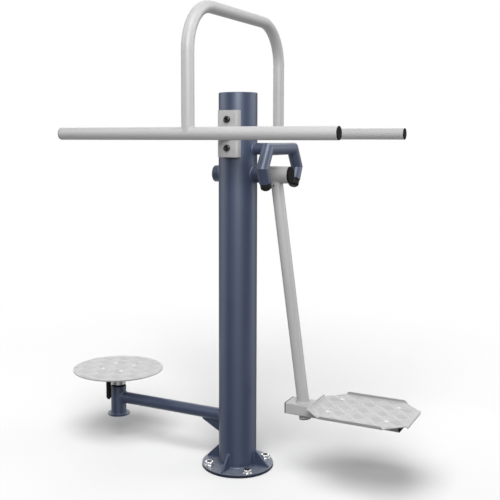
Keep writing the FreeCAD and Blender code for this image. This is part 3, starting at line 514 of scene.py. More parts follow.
# %% Bolts of the two plates
BOARD_MIDDLE = 483.96
BOARD_TOP = 282.0
BOARD_BOLT_ALONG = 103.0
BOARD_BOLT_ACROSS = 74.0
board_bolt = domed_bolt_rows(head=18.0, rise=3.8, shank=10.0, length=19.0)
board_bolt_places = [
    (BOARD_MIDDLE + end * BOARD_BOLT_ALONG, side * BOARD_BOLT_ACROSS, BOARD_TOP)
    for end in SIDES for side in SIDES
]
board_bolts = add_piece(
    "footboard_domed_bolts",
    [turned(board_bolt, place, UP) for place in board_bolt_places],
    "stainless", "pendulum",
)
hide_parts("footboard_bolts")

DISC_AXIS = -536.0
DISC_TOP = 296.0
DISC_BOLT_RADIUS = 62.5
disc_bolt = domed_bolt_rows(head=18.0, rise=3.8, shank=10.0, length=22.0)
disc_bolts = add_piece(
    "disc_domed_bolts",
    [turned(disc_bolt, place, UP) for place in places_round(DISC_AXIS, DISC_BOLT_RADIUS, DISC_TOP)],
    "stainless", "twister",
)
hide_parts("disc_bolts")

# %% [markdown]
# ## Plugs and rubber
# Open tube ends are closed by black push-in plugs with rounded edges, and the yoke's legs end in
# rubber buffers that stop the swinging arm. All of them are turned shapes but the two plugs of the
# rectangular beam, which are stacks of rounded rectangles.

# %% Round plugs
PLUG_DEPTH = 15.0
PLUG_WALL = 3.0
DIMPLE = 0.5
DIMPLE_FLOOR = 2.4
DIMPLE_RIM = 3.0


def plug_rows(radius, rise, edge, bore):
    """A head with a moulding dimple and a rounded edge, and a hollow spigot of the tube's bore."""
    flat = radius - edge
    dimple = [(0.0, rise - DIMPLE), (DIMPLE_FLOOR, rise - DIMPLE), (DIMPLE_RIM, rise)]
    return dimple + [(flat * 0.6, rise)] + edge_rows(radius, rise, edge) + [
        (radius, 0.0), (bore, 0.0), (bore, -PLUG_DEPTH), (bore - PLUG_WALL, -PLUG_DEPTH),
        (bore - PLUG_WALL, -0.5), (0.0, -0.5),
    ]


GRIP_RADIUS = 21.2
GRIP_BORE = 18.55
GRIP_HALF = 509.0
GRIP_SIDE = 357.0
grip_plug = plug_rows(GRIP_RADIUS, rise=3.0, edge=1.8, bore=GRIP_BORE)
bar_plugs = add_piece(
    "grip_bar_plugs",
    [
        turned(grip_plug, (end * GRIP_HALF, side * GRIP_SIDE, GRIP_HEIGHT), (end, 0.0, 0.0))
        for end in SIDES for side in SIDES
    ],
    "black_plastic", "frame",
)
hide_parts("bar_end_plugs")

PIVOT_HEIGHT = 1084.0
HUB_END = 203.0
hub_plug_shape = plug_rows(30.0, rise=6.0, edge=2.4, bore=24.95)
hub_plug = add_piece(
    "swing_hub_plug",
    [turned(hub_plug_shape, (HUB_END, 0.0, PIVOT_HEIGHT), RIGHT, columns=72)],
    "black_plastic", "pendulum",
)
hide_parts("hub_plug")

ARM_LENGTH = 871.0
ARM_LEAN = math.radians(7.87)
ARM_TOP = np.array([150.0, 0.0, PIVOT_HEIGHT])
ARM_DOWN = np.array([math.sin(ARM_LEAN), 0.0, -math.cos(ARM_LEAN)])
ARM_FOOT = ARM_TOP + ARM_LENGTH * ARM_DOWN
arm_plug = add_piece(
    "swing_arm_plug", [turned(grip_plug, ARM_FOOT, ARM_DOWN)], "black_plastic", "pendulum"
)
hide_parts("arm_end_plug")

# %% Buffers of the yoke
YOKE_OFFSET = 167.0
LEG_END_SIDE = 127.08
LEG_END_HEIGHT = 1064.06
LEG_TILT = math.radians(26.0)


def buffer_rows(radius, length, edge, stem, depth):
    """A rubber buffer: a lip at the tube, a shallow groove, a bevelled end, and a stem in the tube."""
    side = [
        (radius, 0.0), (radius, 4.0), (radius - 0.5, 4.6), (radius - 1.0, 5.4), (radius - 1.0, 6.6),
        (radius - 0.5, 7.4), (radius, 8.0), (radius, length * 0.6),
    ]
    nose = [
        (radius, length - edge - 0.9), (radius - 0.3, length - edge - 0.1),
        (radius - edge + 0.1, length - 0.3), (radius - edge - 0.9, length),
    ]
    return [(0.0, -depth), (stem, -depth), (stem, 0.0)] + side + nose + [(0.0, length)]


buffer_shape = buffer_rows(radius=19.25, length=28.0, edge=6.0, stem=17.9, depth=18.0)
buffer_stacks = []
for side in SIDES:
    leg_way = (0.0, -side * math.sin(LEG_TILT), -math.cos(LEG_TILT))
    leg_end = (YOKE_OFFSET, side * LEG_END_SIDE, LEG_END_HEIGHT)
    buffer_stacks.append(turned(buffer_shape, leg_end, leg_way, columns=64))
buffers = add_piece("yoke_buffers", buffer_stacks, "black_rubber", "frame", crease=30.0)
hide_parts("bump_stops")

# %% Beam plugs
BEAM_START = 209.96
BEAM_END = 616.96
BEAM_BOTTOM = 239.0
BEAM_WIDTH = 80.0
BEAM_HEIGHT = 40.0
BEAM_CORNER = 4.5
BEAM_BORE_WIDTH = 73.9
BEAM_BORE_HEIGHT = 33.9
LOOP_COLUMNS = 64


def rounded_rectangle(width, depth, corner):
    """A closed loop: four quarter circles of one corner radius joined by straight sides."""
    turn = np.arange(LOOP_COLUMNS) * 2.0 * np.pi / LOOP_COLUMNS + np.pi / LOOP_COLUMNS
    across = np.cos(turn)
    upward = np.sin(turn)
    middle_x = np.sign(across) * (width / 2.0 - corner)
    middle_y = np.sign(upward) * (depth / 2.0 - corner)
    return np.stack([middle_x + corner * across, middle_y + corner * upward], -1)


def beam_plug(start, outward):
    """Rings of rounded rectangles: a head with a soft edge, then a spigot inside the beam."""
    rows = [
        (0.0, 0.0, 4.0), (BEAM_WIDTH - 2.0, BEAM_HEIGHT - 2.0, 4.0),
        (BEAM_WIDTH - 0.6, BEAM_HEIGHT - 0.6, 3.7), (BEAM_WIDTH, BEAM_HEIGHT, 3.0),
        (BEAM_WIDTH, BEAM_HEIGHT, 0.0), (BEAM_BORE_WIDTH, BEAM_BORE_HEIGHT, 0.0),
        (BEAM_BORE_WIDTH, BEAM_BORE_HEIGHT, -PLUG_DEPTH), (0.0, 0.0, -PLUG_DEPTH),
    ]
    rings = []
    for width, depth, rise in rows:
        corner = min(BEAM_CORNER, width * 0.056 + 0.001)
        loop = rounded_rectangle(max(width, 0.01), max(depth, 0.01), corner)
        x = np.full(len(loop), start + outward * rise)
        z = BEAM_BOTTOM + BEAM_HEIGHT / 2.0 + loop[:, 1]
        rings.append(np.stack([x, loop[:, 0], z], -1))
    return np.array(rings) * MM


beam_plugs = add_piece(
    "beam_plugs", [beam_plug(BEAM_START, -1.0), beam_plug(BEAM_END, 1.0)], "black_plastic", "pendulum"
)
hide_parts("beam_end_plugs")

# %% [markdown]
# ## Welds
# Tubes and plates of the frame are joined by fillet welds under the paint. A weld follows the line
# where two surfaces meet, so the line is worked out first: round a tube, each point is pushed along
# the tube until it lies on the other surface. The bead's section then spans from one wall to the
# other, and its crescents are a wave along the line that lags in the middle of the section.

# %% Walls that welds lie on
class RoundWall:
    """The outside of a tube, given by a point on its axis, the axis and the radius."""

    def __init__(self, point, axis, radius):
        self.point = np.array(point, float)
        self.axis = unit(np.array(axis, float))
        self.radius = radius

    def normal(self, points):
        """Straight away from the axis."""
        away = points - self.point
        return unit(away - (away @ self.axis)[..., None] * self.axis)

    def settle(self, points, depth):
        """Move points straight onto the wall and a little below it."""
        away = points - self.point
        along = (away @ self.axis)[..., None] * self.axis
        return self.point + along + unit(away - along) * (self.radius - depth)

    def reach(self, starts, way):
        """How far each start has to go along a way to come out of the wall: a quadratic in the distance."""
        flat_way = way - (way @ self.axis) * self.axis
        away = starts - self.point
        flat = away - (away @ self.axis)[..., None] * self.axis
        a = flat_way @ flat_way
        b = flat @ flat_way
        c = (flat * flat).sum(-1) - self.radius**2
        return (np.sqrt(np.maximum(b * b - a * c, 0.0)) - b) / a


class FlatWall:
    """A plane, given by a point on it and its normal."""

    def __init__(self, point, facing):
        self.point = np.array(point, float)
        self.facing = unit(np.array(facing, float))

    def normal(self, points):
        """The plane's own normal at every point."""
        return np.broadcast_to(self.facing, points.shape)

    def settle(self, points, depth):
        """Move points straight onto the plane and a little below it."""
        return points - (((points - self.point) @ self.facing) + depth)[..., None] * self.facing

    def reach(self, starts, way):
        """How far each start has to go along a way to meet the plane."""
        return ((self.point - starts) @ self.facing) / (way @ self.facing)


POST_RADIUS = 69.85
post_wall = RoundWall((0.0, 0.0, 0.0), UP, POST_RADIUS)
flange_face = FlatWall((0.0, 0.0, FLANGE_TOP), UP)
print("post wall:", post_wall.radius, "mm, flange face at:", flange_face.point[2], "mm")

# %% Seams
WELD_STEP = 1.1


def seam_round(tube, other, outward):
    """The closed line where a tube that runs outward leaves another wall.

    A seam on a curved wall is longer than a circle, so it gets 2.2 pi r / step points, a tenth more.
    """
    count = int(2.2 * np.pi * tube.radius / WELD_STEP)
    turn = np.linspace(0.0, 2.0 * np.pi, count)
    first, second, way = cross_axes(outward)
    ring = tube.point + tube.radius * (np.cos(turn)[:, None] * first + np.sin(turn)[:, None] * second)
    return ring + other.reach(ring, way)[:, None] * way


foot_seam = seam_round(post_wall, flange_face, UP)
print("points on the seam at the post's foot:", len(foot_seam))

# %% Beads
WELD_RIPPLE = 3.6
WELD_LAG = 1.6
WELD_SWELL = 0.12
WELD_CRESCENT = 0.07
WELD_SINK = 0.25
WELD_ROOT = 0.4
WELD_COLUMNS = 9
LEAST_SINE = 0.4
SOFT_CREASE = 60.0


def bead(line, first, second, leg, closed=True):
    """A weld along a line between two walls.

    With n and m the walls' normals, the legs run along m - (m.n) n and n - (n.m) m, so the bead fades out
    where the walls become flush. Between the legs the face bulges as a sine, and crescents 1 - |sin| run
    along it with a lag in the middle of the section.
    """
    n = first.normal(line)
    m = second.normal(line)
    share = (n * m).sum(-1, keepdims=True)
    leg_one = m - share * n
    leg_two = n - share * m
    size = np.maximum(np.linalg.norm(leg_one, axis=-1, keepdims=True), LEAST_SINE)
    travel = np.concatenate([[0.0], np.cumsum(np.linalg.norm(np.diff(line, axis=0), axis=-1))])
    fade = np.ones(len(line))
    ripple = WELD_RIPPLE
    if closed:
        ripple = travel[-1] / max(round(travel[-1] / ripple), 1)
    else:
        fade = np.sqrt(np.clip(np.minimum(travel, travel[-1] - travel) / leg, 0.0, 1.0))
    u = np.linspace(0.0, 1.0, WELD_COLUMNS)
    lag = travel[:, None] - WELD_LAG * np.sin(np.pi * u)
    crescent = 1.0 - np.abs(np.sin(np.pi * lag / ripple))
    swell = (WELD_SWELL + WELD_CRESCENT * crescent) * np.sin(np.pi * u)
    middle = leg_one + leg_two
    reach = (leg * fade)[:, None, None]
    face = line[:, None, :] + reach / size[:, None, :] * (
        (1.0 - u)[:, None] * leg_one[:, None, :] + u[:, None] * leg_two[:, None, :]
        + swell[..., None] * middle[:, None, :]
    )
    face[:, 0] = first.settle(face[:, 0], WELD_SINK)
    face[:, -1] = second.settle(face[:, -1], WELD_SINK)
    root = line - WELD_ROOT * fade[:, None] * (n + m)
    return np.concatenate([face, root[:, None, :]], axis=1) * MM


def round_bead(tube, other, outward, leg):
    """A closed weld where a tube that runs outward leaves another wall."""
    return bead(seam_round(tube, other, outward), tube, other, leg)


def straight_bead(start, end, first, second, leg):
    """An open weld along a straight corner, with tapered ends."""
    count = int(np.linalg.norm(end - start) / WELD_STEP) + 2
    line = start + np.linspace(0.0, 1.0, count)[:, None] * (end - start)
    stack = bead(line, first, second, leg, closed=False)
    stack[0] = stack[0].mean(0)
    stack[-1] = stack[-1].mean(0)
    return stack


print("a weld has", WELD_COLUMNS, "points across and a crescent every", WELD_RIPPLE, "mm")

# %% Welds of the blue frame
HUB_RADIUS = 30.15
YOKE_TOP = 1175.0
LOW_ARM_HEIGHT = 179.0
LOW_ARM_RADIUS = 22.25
FOOT_TOP = 113.0
pivot_wall = RoundWall((0.0, 0.0, PIVOT_HEIGHT), RIGHT, HUB_RADIUS)
stub_wall = RoundWall((0.0, 0.0, YOKE_TOP), RIGHT, GRIP_RADIUS)
yoke_wall = RoundWall((YOKE_OFFSET, 0.0, YOKE_TOP), REAR, GRIP_RADIUS)
low_arm_wall = RoundWall((0.0, 0.0, LOW_ARM_HEIGHT), RIGHT, LOW_ARM_RADIUS)
disc_hub_wall = RoundWall((DISC_AXIS, 0.0, 0.0), UP, HUB_RADIUS)
foot_face = FlatWall((0.0, 0.0, FOOT_TOP), UP)

blue_welds = [
    bead(foot_seam, post_wall, flange_face, leg=6.0),
    round_bead(pivot_wall, post_wall, LEFT, leg=4.5),
    round_bead(pivot_wall, post_wall, RIGHT, leg=4.5),
    round_bead(stub_wall, post_wall, RIGHT, leg=4.0),
    round_bead(stub_wall, yoke_wall, LEFT, leg=4.0),
    round_bead(low_arm_wall, post_wall, LEFT, leg=4.5),
    round_bead(low_arm_wall, disc_hub_wall, RIGHT, leg=4.0),
    round_bead(disc_hub_wall, foot_face, UP, leg=3.5),
]
print("round welds of the blue frame:", len(blue_welds))

# %% Welds of the blue ribs
RIB_HALF = 4.0
RIB_GAP = 3.0
BASE_RIB_REACH = 124.0
BASE_RIB_RISE = 54.0
BASE_RIB_LEG = 4.0
ARM_RIB_REACH = 74.0
ARM_RIB_DROP = 42.0
ARM_RIB_LEG = 3.5
ON_POST = math.sqrt(POST_RADIUS**2 - RIB_HALF**2)
UNDER_ARM = LOW_ARM_HEIGHT - math.sqrt(LOW_ARM_RADIUS**2 - RIB_HALF**2)


def rib_welds(out, facing, level, foot_wall, foot_ends, rise_ends, leg):
    """The two straight welds on one side of a rib: along the wall at one level, and up or down the post."""
    edge = facing * RIB_HALF
    rib_face = FlatWall(edge, facing)
    foot = [edge + out * reach + (0.0, 0.0, level) for reach in foot_ends]
    upright = [edge + out * ON_POST + (0.0, 0.0, level + rise) for rise in rise_ends]
    return [
        straight_bead(*foot, rib_face, foot_wall, leg),
        straight_bead(*upright, rib_face, post_wall, leg),
    ]


for turn in np.radians([0.0, 90.0, 180.0, 270.0]):
    out = np.array([math.cos(turn), math.sin(turn), 0.0])
    for side in SIDES:
        facing = side * np.array([-math.sin(turn), math.cos(turn), 0.0])
        blue_welds += rib_welds(
            out, facing, FLANGE_TOP, flange_face,
            (ON_POST + RIB_GAP, BASE_RIB_REACH), (RIB_GAP, BASE_RIB_RISE), BASE_RIB_LEG,
        )
for side in SIDES:
    blue_welds += rib_welds(
        np.array(LEFT), np.array([0.0, side, 0.0]), UNDER_ARM, low_arm_wall,
        (ON_POST + RIB_GAP, ON_POST + ARM_RIB_REACH), (-ARM_RIB_DROP, -RIB_GAP), ARM_RIB_LEG,
    )
add_piece("frame_welds", blue_welds, "blue_paint", "frame", SOFT_CREASE)

# %% Welds of the silver grips and of the swinging arm
grip_welds = []
for side in SIDES:
    from_post = np.array([0.0, side, 0.0])
    bar_wall = RoundWall((0.0, side * GRIP_SIDE, GRIP_HEIGHT), RIGHT, GRIP_RADIUS)
    standoff_wall = RoundWall((0.0, 0.0, GRIP_HEIGHT), REAR, GRIP_RADIUS)
    leg_wall = RoundWall((0.0, side * GRIP_SIDE, 0.0), UP, GRIP_RADIUS)
    saddle_face = FlatWall((0.0, side * SADDLE_FACE, 0.0), from_post)
    grip_welds += [
        round_bead(standoff_wall, saddle_face, from_post, leg=3.0),
        round_bead(standoff_wall, bar_wall, -from_post, leg=2.4),
        round_bead(leg_wall, bar_wall, UP, leg=2.0),
    ]
add_piece("grip_welds", grip_welds, "silver_paint", "frame", SOFT_CREASE)

# The swinging hub is as wide as the pivot tube and on the same axis, so the two have one wall.
arm_wall = RoundWall(ARM_TOP, ARM_DOWN, GRIP_RADIUS)
beam_top = FlatWall((0.0, 0.0, BEAM_BOTTOM + BEAM_HEIGHT), UP)
beam_under = FlatWall((0.0, 0.0, BEAM_BOTTOM), DOWN)
swing_welds = [
    round_bead(arm_wall, pivot_wall, ARM_DOWN, leg=2.2),
    round_bead(arm_wall, beam_top, -ARM_DOWN, leg=4.5),
    round_bead(arm_wall, beam_under, ARM_DOWN, leg=3.5),
]
add_piece("swing_welds", swing_welds, "silver_paint", "pendulum", SOFT_CREASE)

# %% [markdown]
# ## Tread bars
# The plates are rolled with groups of five raised bars. The groups sit in squares turned by 45
# degrees, and neighbours are square to each other. A bar is a low grid: half a cosine across,
# and rounded at both ends. Bars that cross the rim are cut short along their own line.

# %% The bar pattern
CELL = 66.0
CELL_REACH = 12
BARS_IN_CELL = 5
TREAD_PITCH = 9.0
TREAD_LENGTH = 39.0
TREAD_WIDTH = 4.2
TREAD_RISE = 1.2


def bar_lines(half_length, half_width, middle, turn):
    """Middles and directions of all bars in a box about the origin.

    Cells lie at whole and half steps of the pattern, with five bars each, along one diagonal in the first
    kind and along the other in the second. The whole pattern is then turned by an angle in degrees.
    """
    steps = np.arange(-CELL_REACH, CELL_REACH + 1)
    x, y = [grid.ravel() * CELL for grid in np.meshgrid(steps, steps)]
    offsets = (np.arange(BARS_IN_CELL) - (BARS_IN_CELL - 1) / 2.0) * TREAD_PITCH
    found = []
    for shift, lean in ((0.0, 1.0), (CELL / 2.0, -1.0)):
        along = np.array([1.0, lean]) / math.sqrt(2.0)
        across = np.array([-lean, 1.0]) / math.sqrt(2.0)
        centres = np.stack([x + shift, y + shift], -1)[:, None, :] + offsets[:, None] * across
        centres = centres.reshape(-1, 2) + middle
        found.append((centres, np.broadcast_to(along, centres.shape)))
    centres = np.concatenate([f[0] for f in found])
    ways = np.concatenate([f[1] for f in found])
    cosine, sine = math.cos(math.radians(turn)), math.sin(math.radians(turn))
    spin = np.array([[cosine, sine], [-sine, cosine]])
    centres, ways = centres @ spin, ways @ spin
    limit = np.array([half_length, half_width]) + TREAD_LENGTH
    inside = (np.abs(centres) < limit).all(-1)
    return centres[inside], ways[inside]


print("a cell of", CELL, "mm has", BARS_IN_CELL, "bars of", TREAD_LENGTH, "mm")

# %% Bars cut at the rim
NO_BAR = -1e3


def cut_by_edges(centres, ways, edges):
    """Shorten each bar to the part inside all edges n.p < d: the usual clip of a line by half planes."""
    low = np.full(len(centres), -TREAD_LENGTH / 2.0)
    high = np.full(len(centres), TREAD_LENGTH / 2.0)
    for facing, limit in edges:
        speed = ways @ facing
        room = limit - centres @ facing
        steady = np.abs(speed) < 1e-6
        at = room / np.where(steady, 1.0, speed)
        high = np.where(~steady & (speed > 0.0), np.minimum(high, at), high)
        low = np.where(~steady & (speed < 0.0), np.maximum(low, at), low)
        high = np.where(steady & (room < 0.0), NO_BAR, high)
    return low, high


def cut_by_circle(centres, ways, radius):
    """Shorten each bar to the part inside a circle about the origin: |c + t w| = r solved for t."""
    b = (centres * ways).sum(-1)
    c = (centres * centres).sum(-1) - radius**2
    root = np.sqrt(np.maximum(b * b - c, 0.0))
    hit = b * b > c
    low = np.where(hit, np.maximum(-b - root, -TREAD_LENGTH / 2.0), 0.0)
    high = np.where(hit, np.minimum(-b + root, TREAD_LENGTH / 2.0), NO_BAR)
    return low, high


print("bars are clipped by", cut_by_edges.__name__, "and", cut_by_circle.__name__)

# %% Bars as rings
SHORTEST_BAR = 9.0
TREAD_SINK = 0.3
TREAD_CROWN = 1.6


def tread_bars(centres, ways, low, high, level):
    """All bars as stacks of rings.

    Along t the width goes as sqrt(1 - t^6), and across s the rise goes as cos(pi s / 2), cut flat at the top.
    """
    keep = high - low > SHORTEST_BAR
    centres, ways, low, high = centres[keep], ways[keep], low[keep], high[keep]
    t = np.array([-1.0, -0.93, -0.72, 0.72, 0.93, 1.0])
    s = np.array([-1.0, -0.72, -0.3, 0.3, 0.72, 1.0])
    width = TREAD_WIDTH / 2.0 * np.sqrt(np.maximum(1.0 - t**6, 0.0))
    middle = (low + high) / 2.0
    half = (high - low) / 2.0
    across = np.stack([-ways[:, 1], ways[:, 0]], -1)
    travel = (middle[:, None] + half[:, None] * t)[:, :, None, None]
    flat = (
        centres[:, None, None, :] + travel * ways[:, None, None, :]
        + (width[:, None] * s)[None, :, :, None] * across[:, None, None, :]
    )
    crown = np.minimum(1.0, TREAD_CROWN * np.cos(np.pi / 2.0 * s))
    rise = TREAD_RISE * crown[None, :] * (width / width.max())[:, None]
    z = np.broadcast_to(level + rise, flat.shape[:3])
    top = np.concatenate([flat, z[..., None]], -1)
    under = top[:, :, [-1, 0], :]
    under[..., 2] = level - TREAD_SINK
    loops = np.concatenate([top, under], axis=2)
    return [loop * MM for loop in loops]


print("bars shorter than", SHORTEST_BAR, "mm are left out")

# %% Bars on the footboard and on the disc
FLAT_HALF_LENGTH = 171.0
FLAT_HALF_WIDTH = 145.0
FLAT_CORNER_SUM = 256.0
MARGIN = 3.0
diagonal = np.array([1.0, 1.0]) / math.sqrt(2.0)
corner_limit = FLAT_CORNER_SUM / math.sqrt(2.0) - MARGIN
board_edges = []
for sign_x in SIDES:
    board_edges.append((np.array([sign_x, 0.0]), FLAT_HALF_LENGTH - MARGIN))
    board_edges.append((np.array([0.0, sign_x]), FLAT_HALF_WIDTH - MARGIN))
    for sign_y in SIDES:
        board_edges.append((diagonal * (sign_x, sign_y), corner_limit))
centres, ways = bar_lines(half_length=180.0, half_width=155.0, middle=(0.0, 0.0), turn=0.0)
low, high = cut_by_edges(centres, ways, board_edges)
board_bars = tread_bars(centres + (BOARD_MIDDLE, 0.0), ways, low, high, BOARD_TOP)
board_tread = add_piece("footboard_tread", board_bars, "tread_plate", "pendulum", SOFT_CREASE, worn_bars)

DISC_TREAD_RADIUS = 176.5
centres, ways = bar_lines(half_length=180.0, half_width=180.0, middle=(14.0, 9.0), turn=27.5)
low, high = cut_by_circle(centres, ways, DISC_TREAD_RADIUS)
disc_bars = tread_bars(centres + (DISC_AXIS, 0.0), ways, low, high, DISC_TOP)
disc_tread = add_piece("disc_tread", disc_bars, "tread_plate", "twister", SOFT_CREASE, worn_bars)

# %% [markdown]
# ## Floor
# The picture is a studio shot on white, and all that shows of its floor is soft shadows. Light that falls
# off with distance would leave a grey floor further out. So the tone of this floor rises where the light
# falls, and far out it becomes the white backdrop. It throws no light back onto the object.

# %% Floor
FLOOR_REACH = 60.0
FLOOR_LEVEL = -0.0005
NEAR_TONE = 0.282
FALL_PLACE = (0.442, -1.176, 0.0)
FALL_REACH = 1.388
FALL_POWER = 0.442
FADE_START = 1.6
FADE_END = 3.2


def floor_finish():
    """A pale surface that is plain white far out.

    The lamps' light on it falls about as (1 + (r / h)^2)^-n with the distance r from its brightest place.
    The surface gets lighter at the same rate, so that what shows of it is the shadows alone.
    """
    finish, wire = new_finish("studio_floor")
    spot = wire.node("TexCoord", output="Object")
    apart = wire.node("VectorMath", {"operation": "DISTANCE"}, {0: spot, 1: FALL_PLACE}, output="Value")
    apart = apart * (1.0 / FALL_REACH)
    fall = wire.math("POWER", apart * apart + 1.0, FALL_POWER)
    lighter = (fall - 1.0) * (NEAR_TONE / (1.0 - NEAR_TONE))
    near = wire.node("BsdfDiffuse", {}, {"Color": opaque(grey(NEAR_TONE))})
    full = wire.node("BsdfDiffuse", {}, {"Color": opaque(WHITE)})
    pale = wire.node("MixShader", {}, {0: lighter, 1: near, 2: full})
    white = wire.node("Emission", {}, {"Color": opaque(WHITE), "Strength": 1.0})
    away = wire.node("VectorMath", {"operation": "LENGTH"}, {0: spot}, output="Value")
    far = ramp(wire, away, FADE_START, FADE_END)
    surface = wire.node("MixShader", {}, {0: far, 1: pale, 2: white})
    wire.node("OutputMaterial", {}, {"Surface": surface}, output=None)
    return finish


corners = [(x * FLOOR_REACH, y * FLOOR_REACH, FLOOR_LEVEL) for x, y in ((-1, -1), (1, -1), (1, 1), (-1, 1))]
mesh = bpy.data.meshes.new("floor")
mesh.from_pydata(corners, [], [(0, 1, 2, 3)])
mesh.materials.append(floor_finish())
floor = bpy.data.objects.new("floor", mesh)
bpy.context.scene.collection.objects.link(floor)
floor.visible_diffuse = False
floor.visible_glossy = False
floor.visible_shadow = False
print("floor at", FLOOR_LEVEL, "m, white from", FADE_END, "m out")

# %% [markdown]
# ## Lamps
# The post shows a streak down its middle, from a large lamp above the camera. The lamps are close, so the
# object is brighter at the top. The floor has a lamp of its own, because its shadows are deeper than the
# lamps of the object make them. A studio would use flags and screens for that. Here light linking does it.

# %% Lamps
def soft_box(name, place, aim, width, height, power):
    """A rectangular lamp that looks from one point at another. The camera doesn't see it."""
    data = bpy.data.lights.new(name, "AREA")
    data.shape = "RECTANGLE"
    data.size = width
    data.size_y = height
    data.energy = power
    lamp = bpy.data.objects.new(name, data)
    bpy.context.scene.collection.objects.link(lamp)
    lamp.visible_camera = False
    lamp.location = place
    way = Vector(aim) - Vector(place)
    lamp.rotation_euler = way.to_track_quat("-Z", "Y").to_euler()
    return lamp


def soft_sun(name, tilt, turn, spread, strength):
    """Even light from one direction, tilted from straight down and turned about the upright."""
    data = bpy.data.lights.new(name, "SUN")
    data.angle = math.radians(spread)
    data.energy = strength
    lamp = bpy.data.objects.new(name, data)
    bpy.context.scene.collection.objects.link(lamp)
    lamp.rotation_euler = (math.radians(tilt), 0.0, math.radians(turn))
    return lamp


front_box = soft_box(
    "front", place=(1.62, -3.21, 2.5), aim=(0.0, 0.0, 1.2), width=1.8, height=0.9, power=122.0
)
top_box = soft_box(
    "top", place=(1.1, -1.2, 3.6), aim=(0.0, 0.0, 1.0), width=1.6, height=1.6, power=44.0
)
sun = soft_sun("overhead", tilt=32.0, turn=26.0, spread=22.0, strength=0.5)
floor_box = soft_box(
    "floor", place=(0.51, -1.54, 3.0), aim=(0.0, 0.0, 0.0), width=1.85, height=1.85, power=223.0
)
print("lamps:", [lamp.name for lamp in (front_box, top_box, sun, floor_box)])

# %% What each lamp lights
def link_lamp(lamp, name, things, state):
    """Let a lamp light only some things, for the state INCLUDE, or all but them, for EXCLUDE."""
    group = bpy.data.collections.new(name)
    for thing in things:
        group.objects.link(thing)
    for entry in group.collection_objects:
        entry.light_linking.link_state = state
    lamp.light_linking.receiver_collection = group
    print(lamp.name, state.lower(), len(things))


# The floor is lit by its own lamp and by the front lamp, so the shadows on it are as deep as in the photo.
link_lamp(floor_box, "floor_only", [floor], "INCLUDE")
link_lamp(top_box, "not_by_top_lamp", [floor], "EXCLUDE")
link_lamp(sun, "not_by_sun", [floor], "EXCLUDE")

# The front lamp leaves out the two plates, which would glare in it when they are seen from behind.
plates = [nodes["footboard"], nodes["twister_disc"], board_tread, disc_tread, board_bolts, disc_bolts]
link_lamp(front_box, "not_by_front_lamp", plates, "EXCLUDE")

# %% [markdown]
# ## Light of the room
# The streaks near the edges of the post are tall white walls beside the object. They are painted into the
# world as soft steps of direction, with some even light from above, below and behind. The camera itself
# sees plain white.

# %% Kinds of light in the room
EYE_LEVEL = (0.0, 0.15)
WALL_TOP = (0.5, 0.8)
WALL_FOOT = (-0.5, -0.2)
WALL_EDGE = (0.82, 0.985)
world = bpy.data.worlds.new("studio")
world.use_nodes = True
world.node_tree.nodes.clear()
sky = Wire(world.node_tree)
way = sky.node("TexCoord", output="Generated")
rise = sky.node("SeparateXYZ", {}, {0: way}, output="Z")
level_way = sky.node(
    "VectorMath", {"operation": "MULTIPLY"}, {0: way, 1: (1.0, 1.0, 0.0)}, output="Vector"
)
level_way = sky.node("VectorMath", {"operation": "NORMALIZE"}, {0: level_way}, output="Vector")


def cosine_to(direction, facing):
    """The cosine between a direction in the room and a fixed one."""
    return sky.node("VectorMath", {"operation": "DOT_PRODUCT"}, {0: direction, 1: facing}, output="Value")


def side_light(facing, strength):
    """Even light from one side of the room: strength times the square of the cosine to that side."""
    share = sky.math("MAXIMUM", cosine_to(way, facing), 0.0)
    return share * share * strength


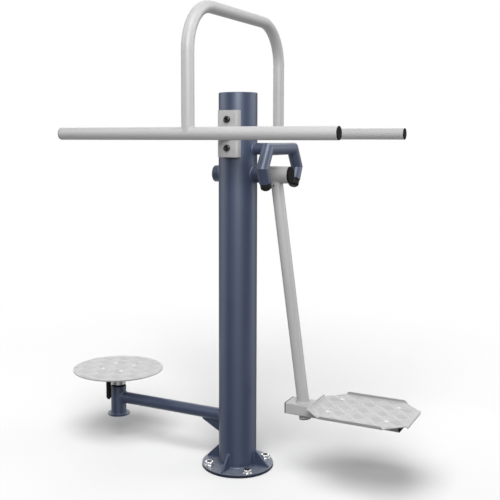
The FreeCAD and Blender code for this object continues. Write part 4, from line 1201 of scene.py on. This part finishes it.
def light_wall(facing, above, below):
    """A tall wall of light in one direction, with its own strength above and below eye level."""
    upper = ramp(sky, rise, *EYE_LEVEL) * (1.0 - ramp(sky, rise, *WALL_TOP))
    lower = ramp(sky, rise, *WALL_FOOT) * (1.0 - ramp(sky, rise, *EYE_LEVEL))
    return ramp(sky, cosine_to(level_way, facing), *WALL_EDGE) * (above * upper + below * lower)


def bright_spot(facing, rim, core, strength):
    """A round bright patch about one direction, between two cosines from its rim to its core."""
    return ramp(sky, cosine_to(way, facing), rim, core) * strength


print("kinds of light:", [kind.__name__ for kind in (side_light, light_wall, bright_spot)])

# %% Light of the room
ROOM = [
    side_light(UP, 0.55),
    side_light(DOWN, 0.49),
    side_light((-0.463, 0.887, 0.0), 0.19),
    side_light((0.887, 0.463, 0.0), 0.13),
    light_wall((-0.951, -0.300, 0.0), above=3.1, below=0.85),
    light_wall((0.795, 0.611, 0.0), above=2.8, below=0.92),
    light_wall((0.450, -0.893, 0.0), above=0.0, below=1.05),
    bright_spot((-0.40, 0.77, 0.50), rim=0.82, core=0.96, strength=1.35),
    bright_spot((-0.46, 0.58, -0.67), rim=0.72, core=0.95, strength=0.7),
]
glow = sum(ROOM[1:], ROOM[0])
to_camera = sky.node("LightPath", output="Is Camera Ray")
strength = to_camera + (1.0 - to_camera) * glow
light = sky.node("Background", {}, {"Color": opaque(WHITE), "Strength": strength})
sky.node("OutputWorld", {}, {"Surface": light}, output=None)
bpy.context.scene.world = world
bpy.context.scene.view_settings.view_transform = "Standard"
print("lights of the room:", len(ROOM), "nodes:", len(world.node_tree.nodes))

# %% [markdown]
# ## Camera
# The camera stands where the lines of the photo meet when they are traced back.

# %% Camera
CAMERA_PLACE = (1.3191, -2.6183, 1.2168)
CAMERA_TURN = 27.553
CAMERA_DROP = 5.397
camera_data = bpy.data.cameras.new("camera")
camera_data.sensor_width = 36.0
camera_data.lens = 58.38
camera_data.shift_x = 0.0471
camera_data.shift_y = -0.0729
camera = bpy.data.objects.new("camera", camera_data)
bpy.context.scene.collection.objects.link(camera)
camera.location = CAMERA_PLACE
camera.rotation_euler = (math.radians(90.0 - CAMERA_DROP), 0.0, math.radians(CAMERA_TURN))
bpy.context.scene.camera = camera
print("camera at", CAMERA_PLACE, "lens", camera_data.lens)
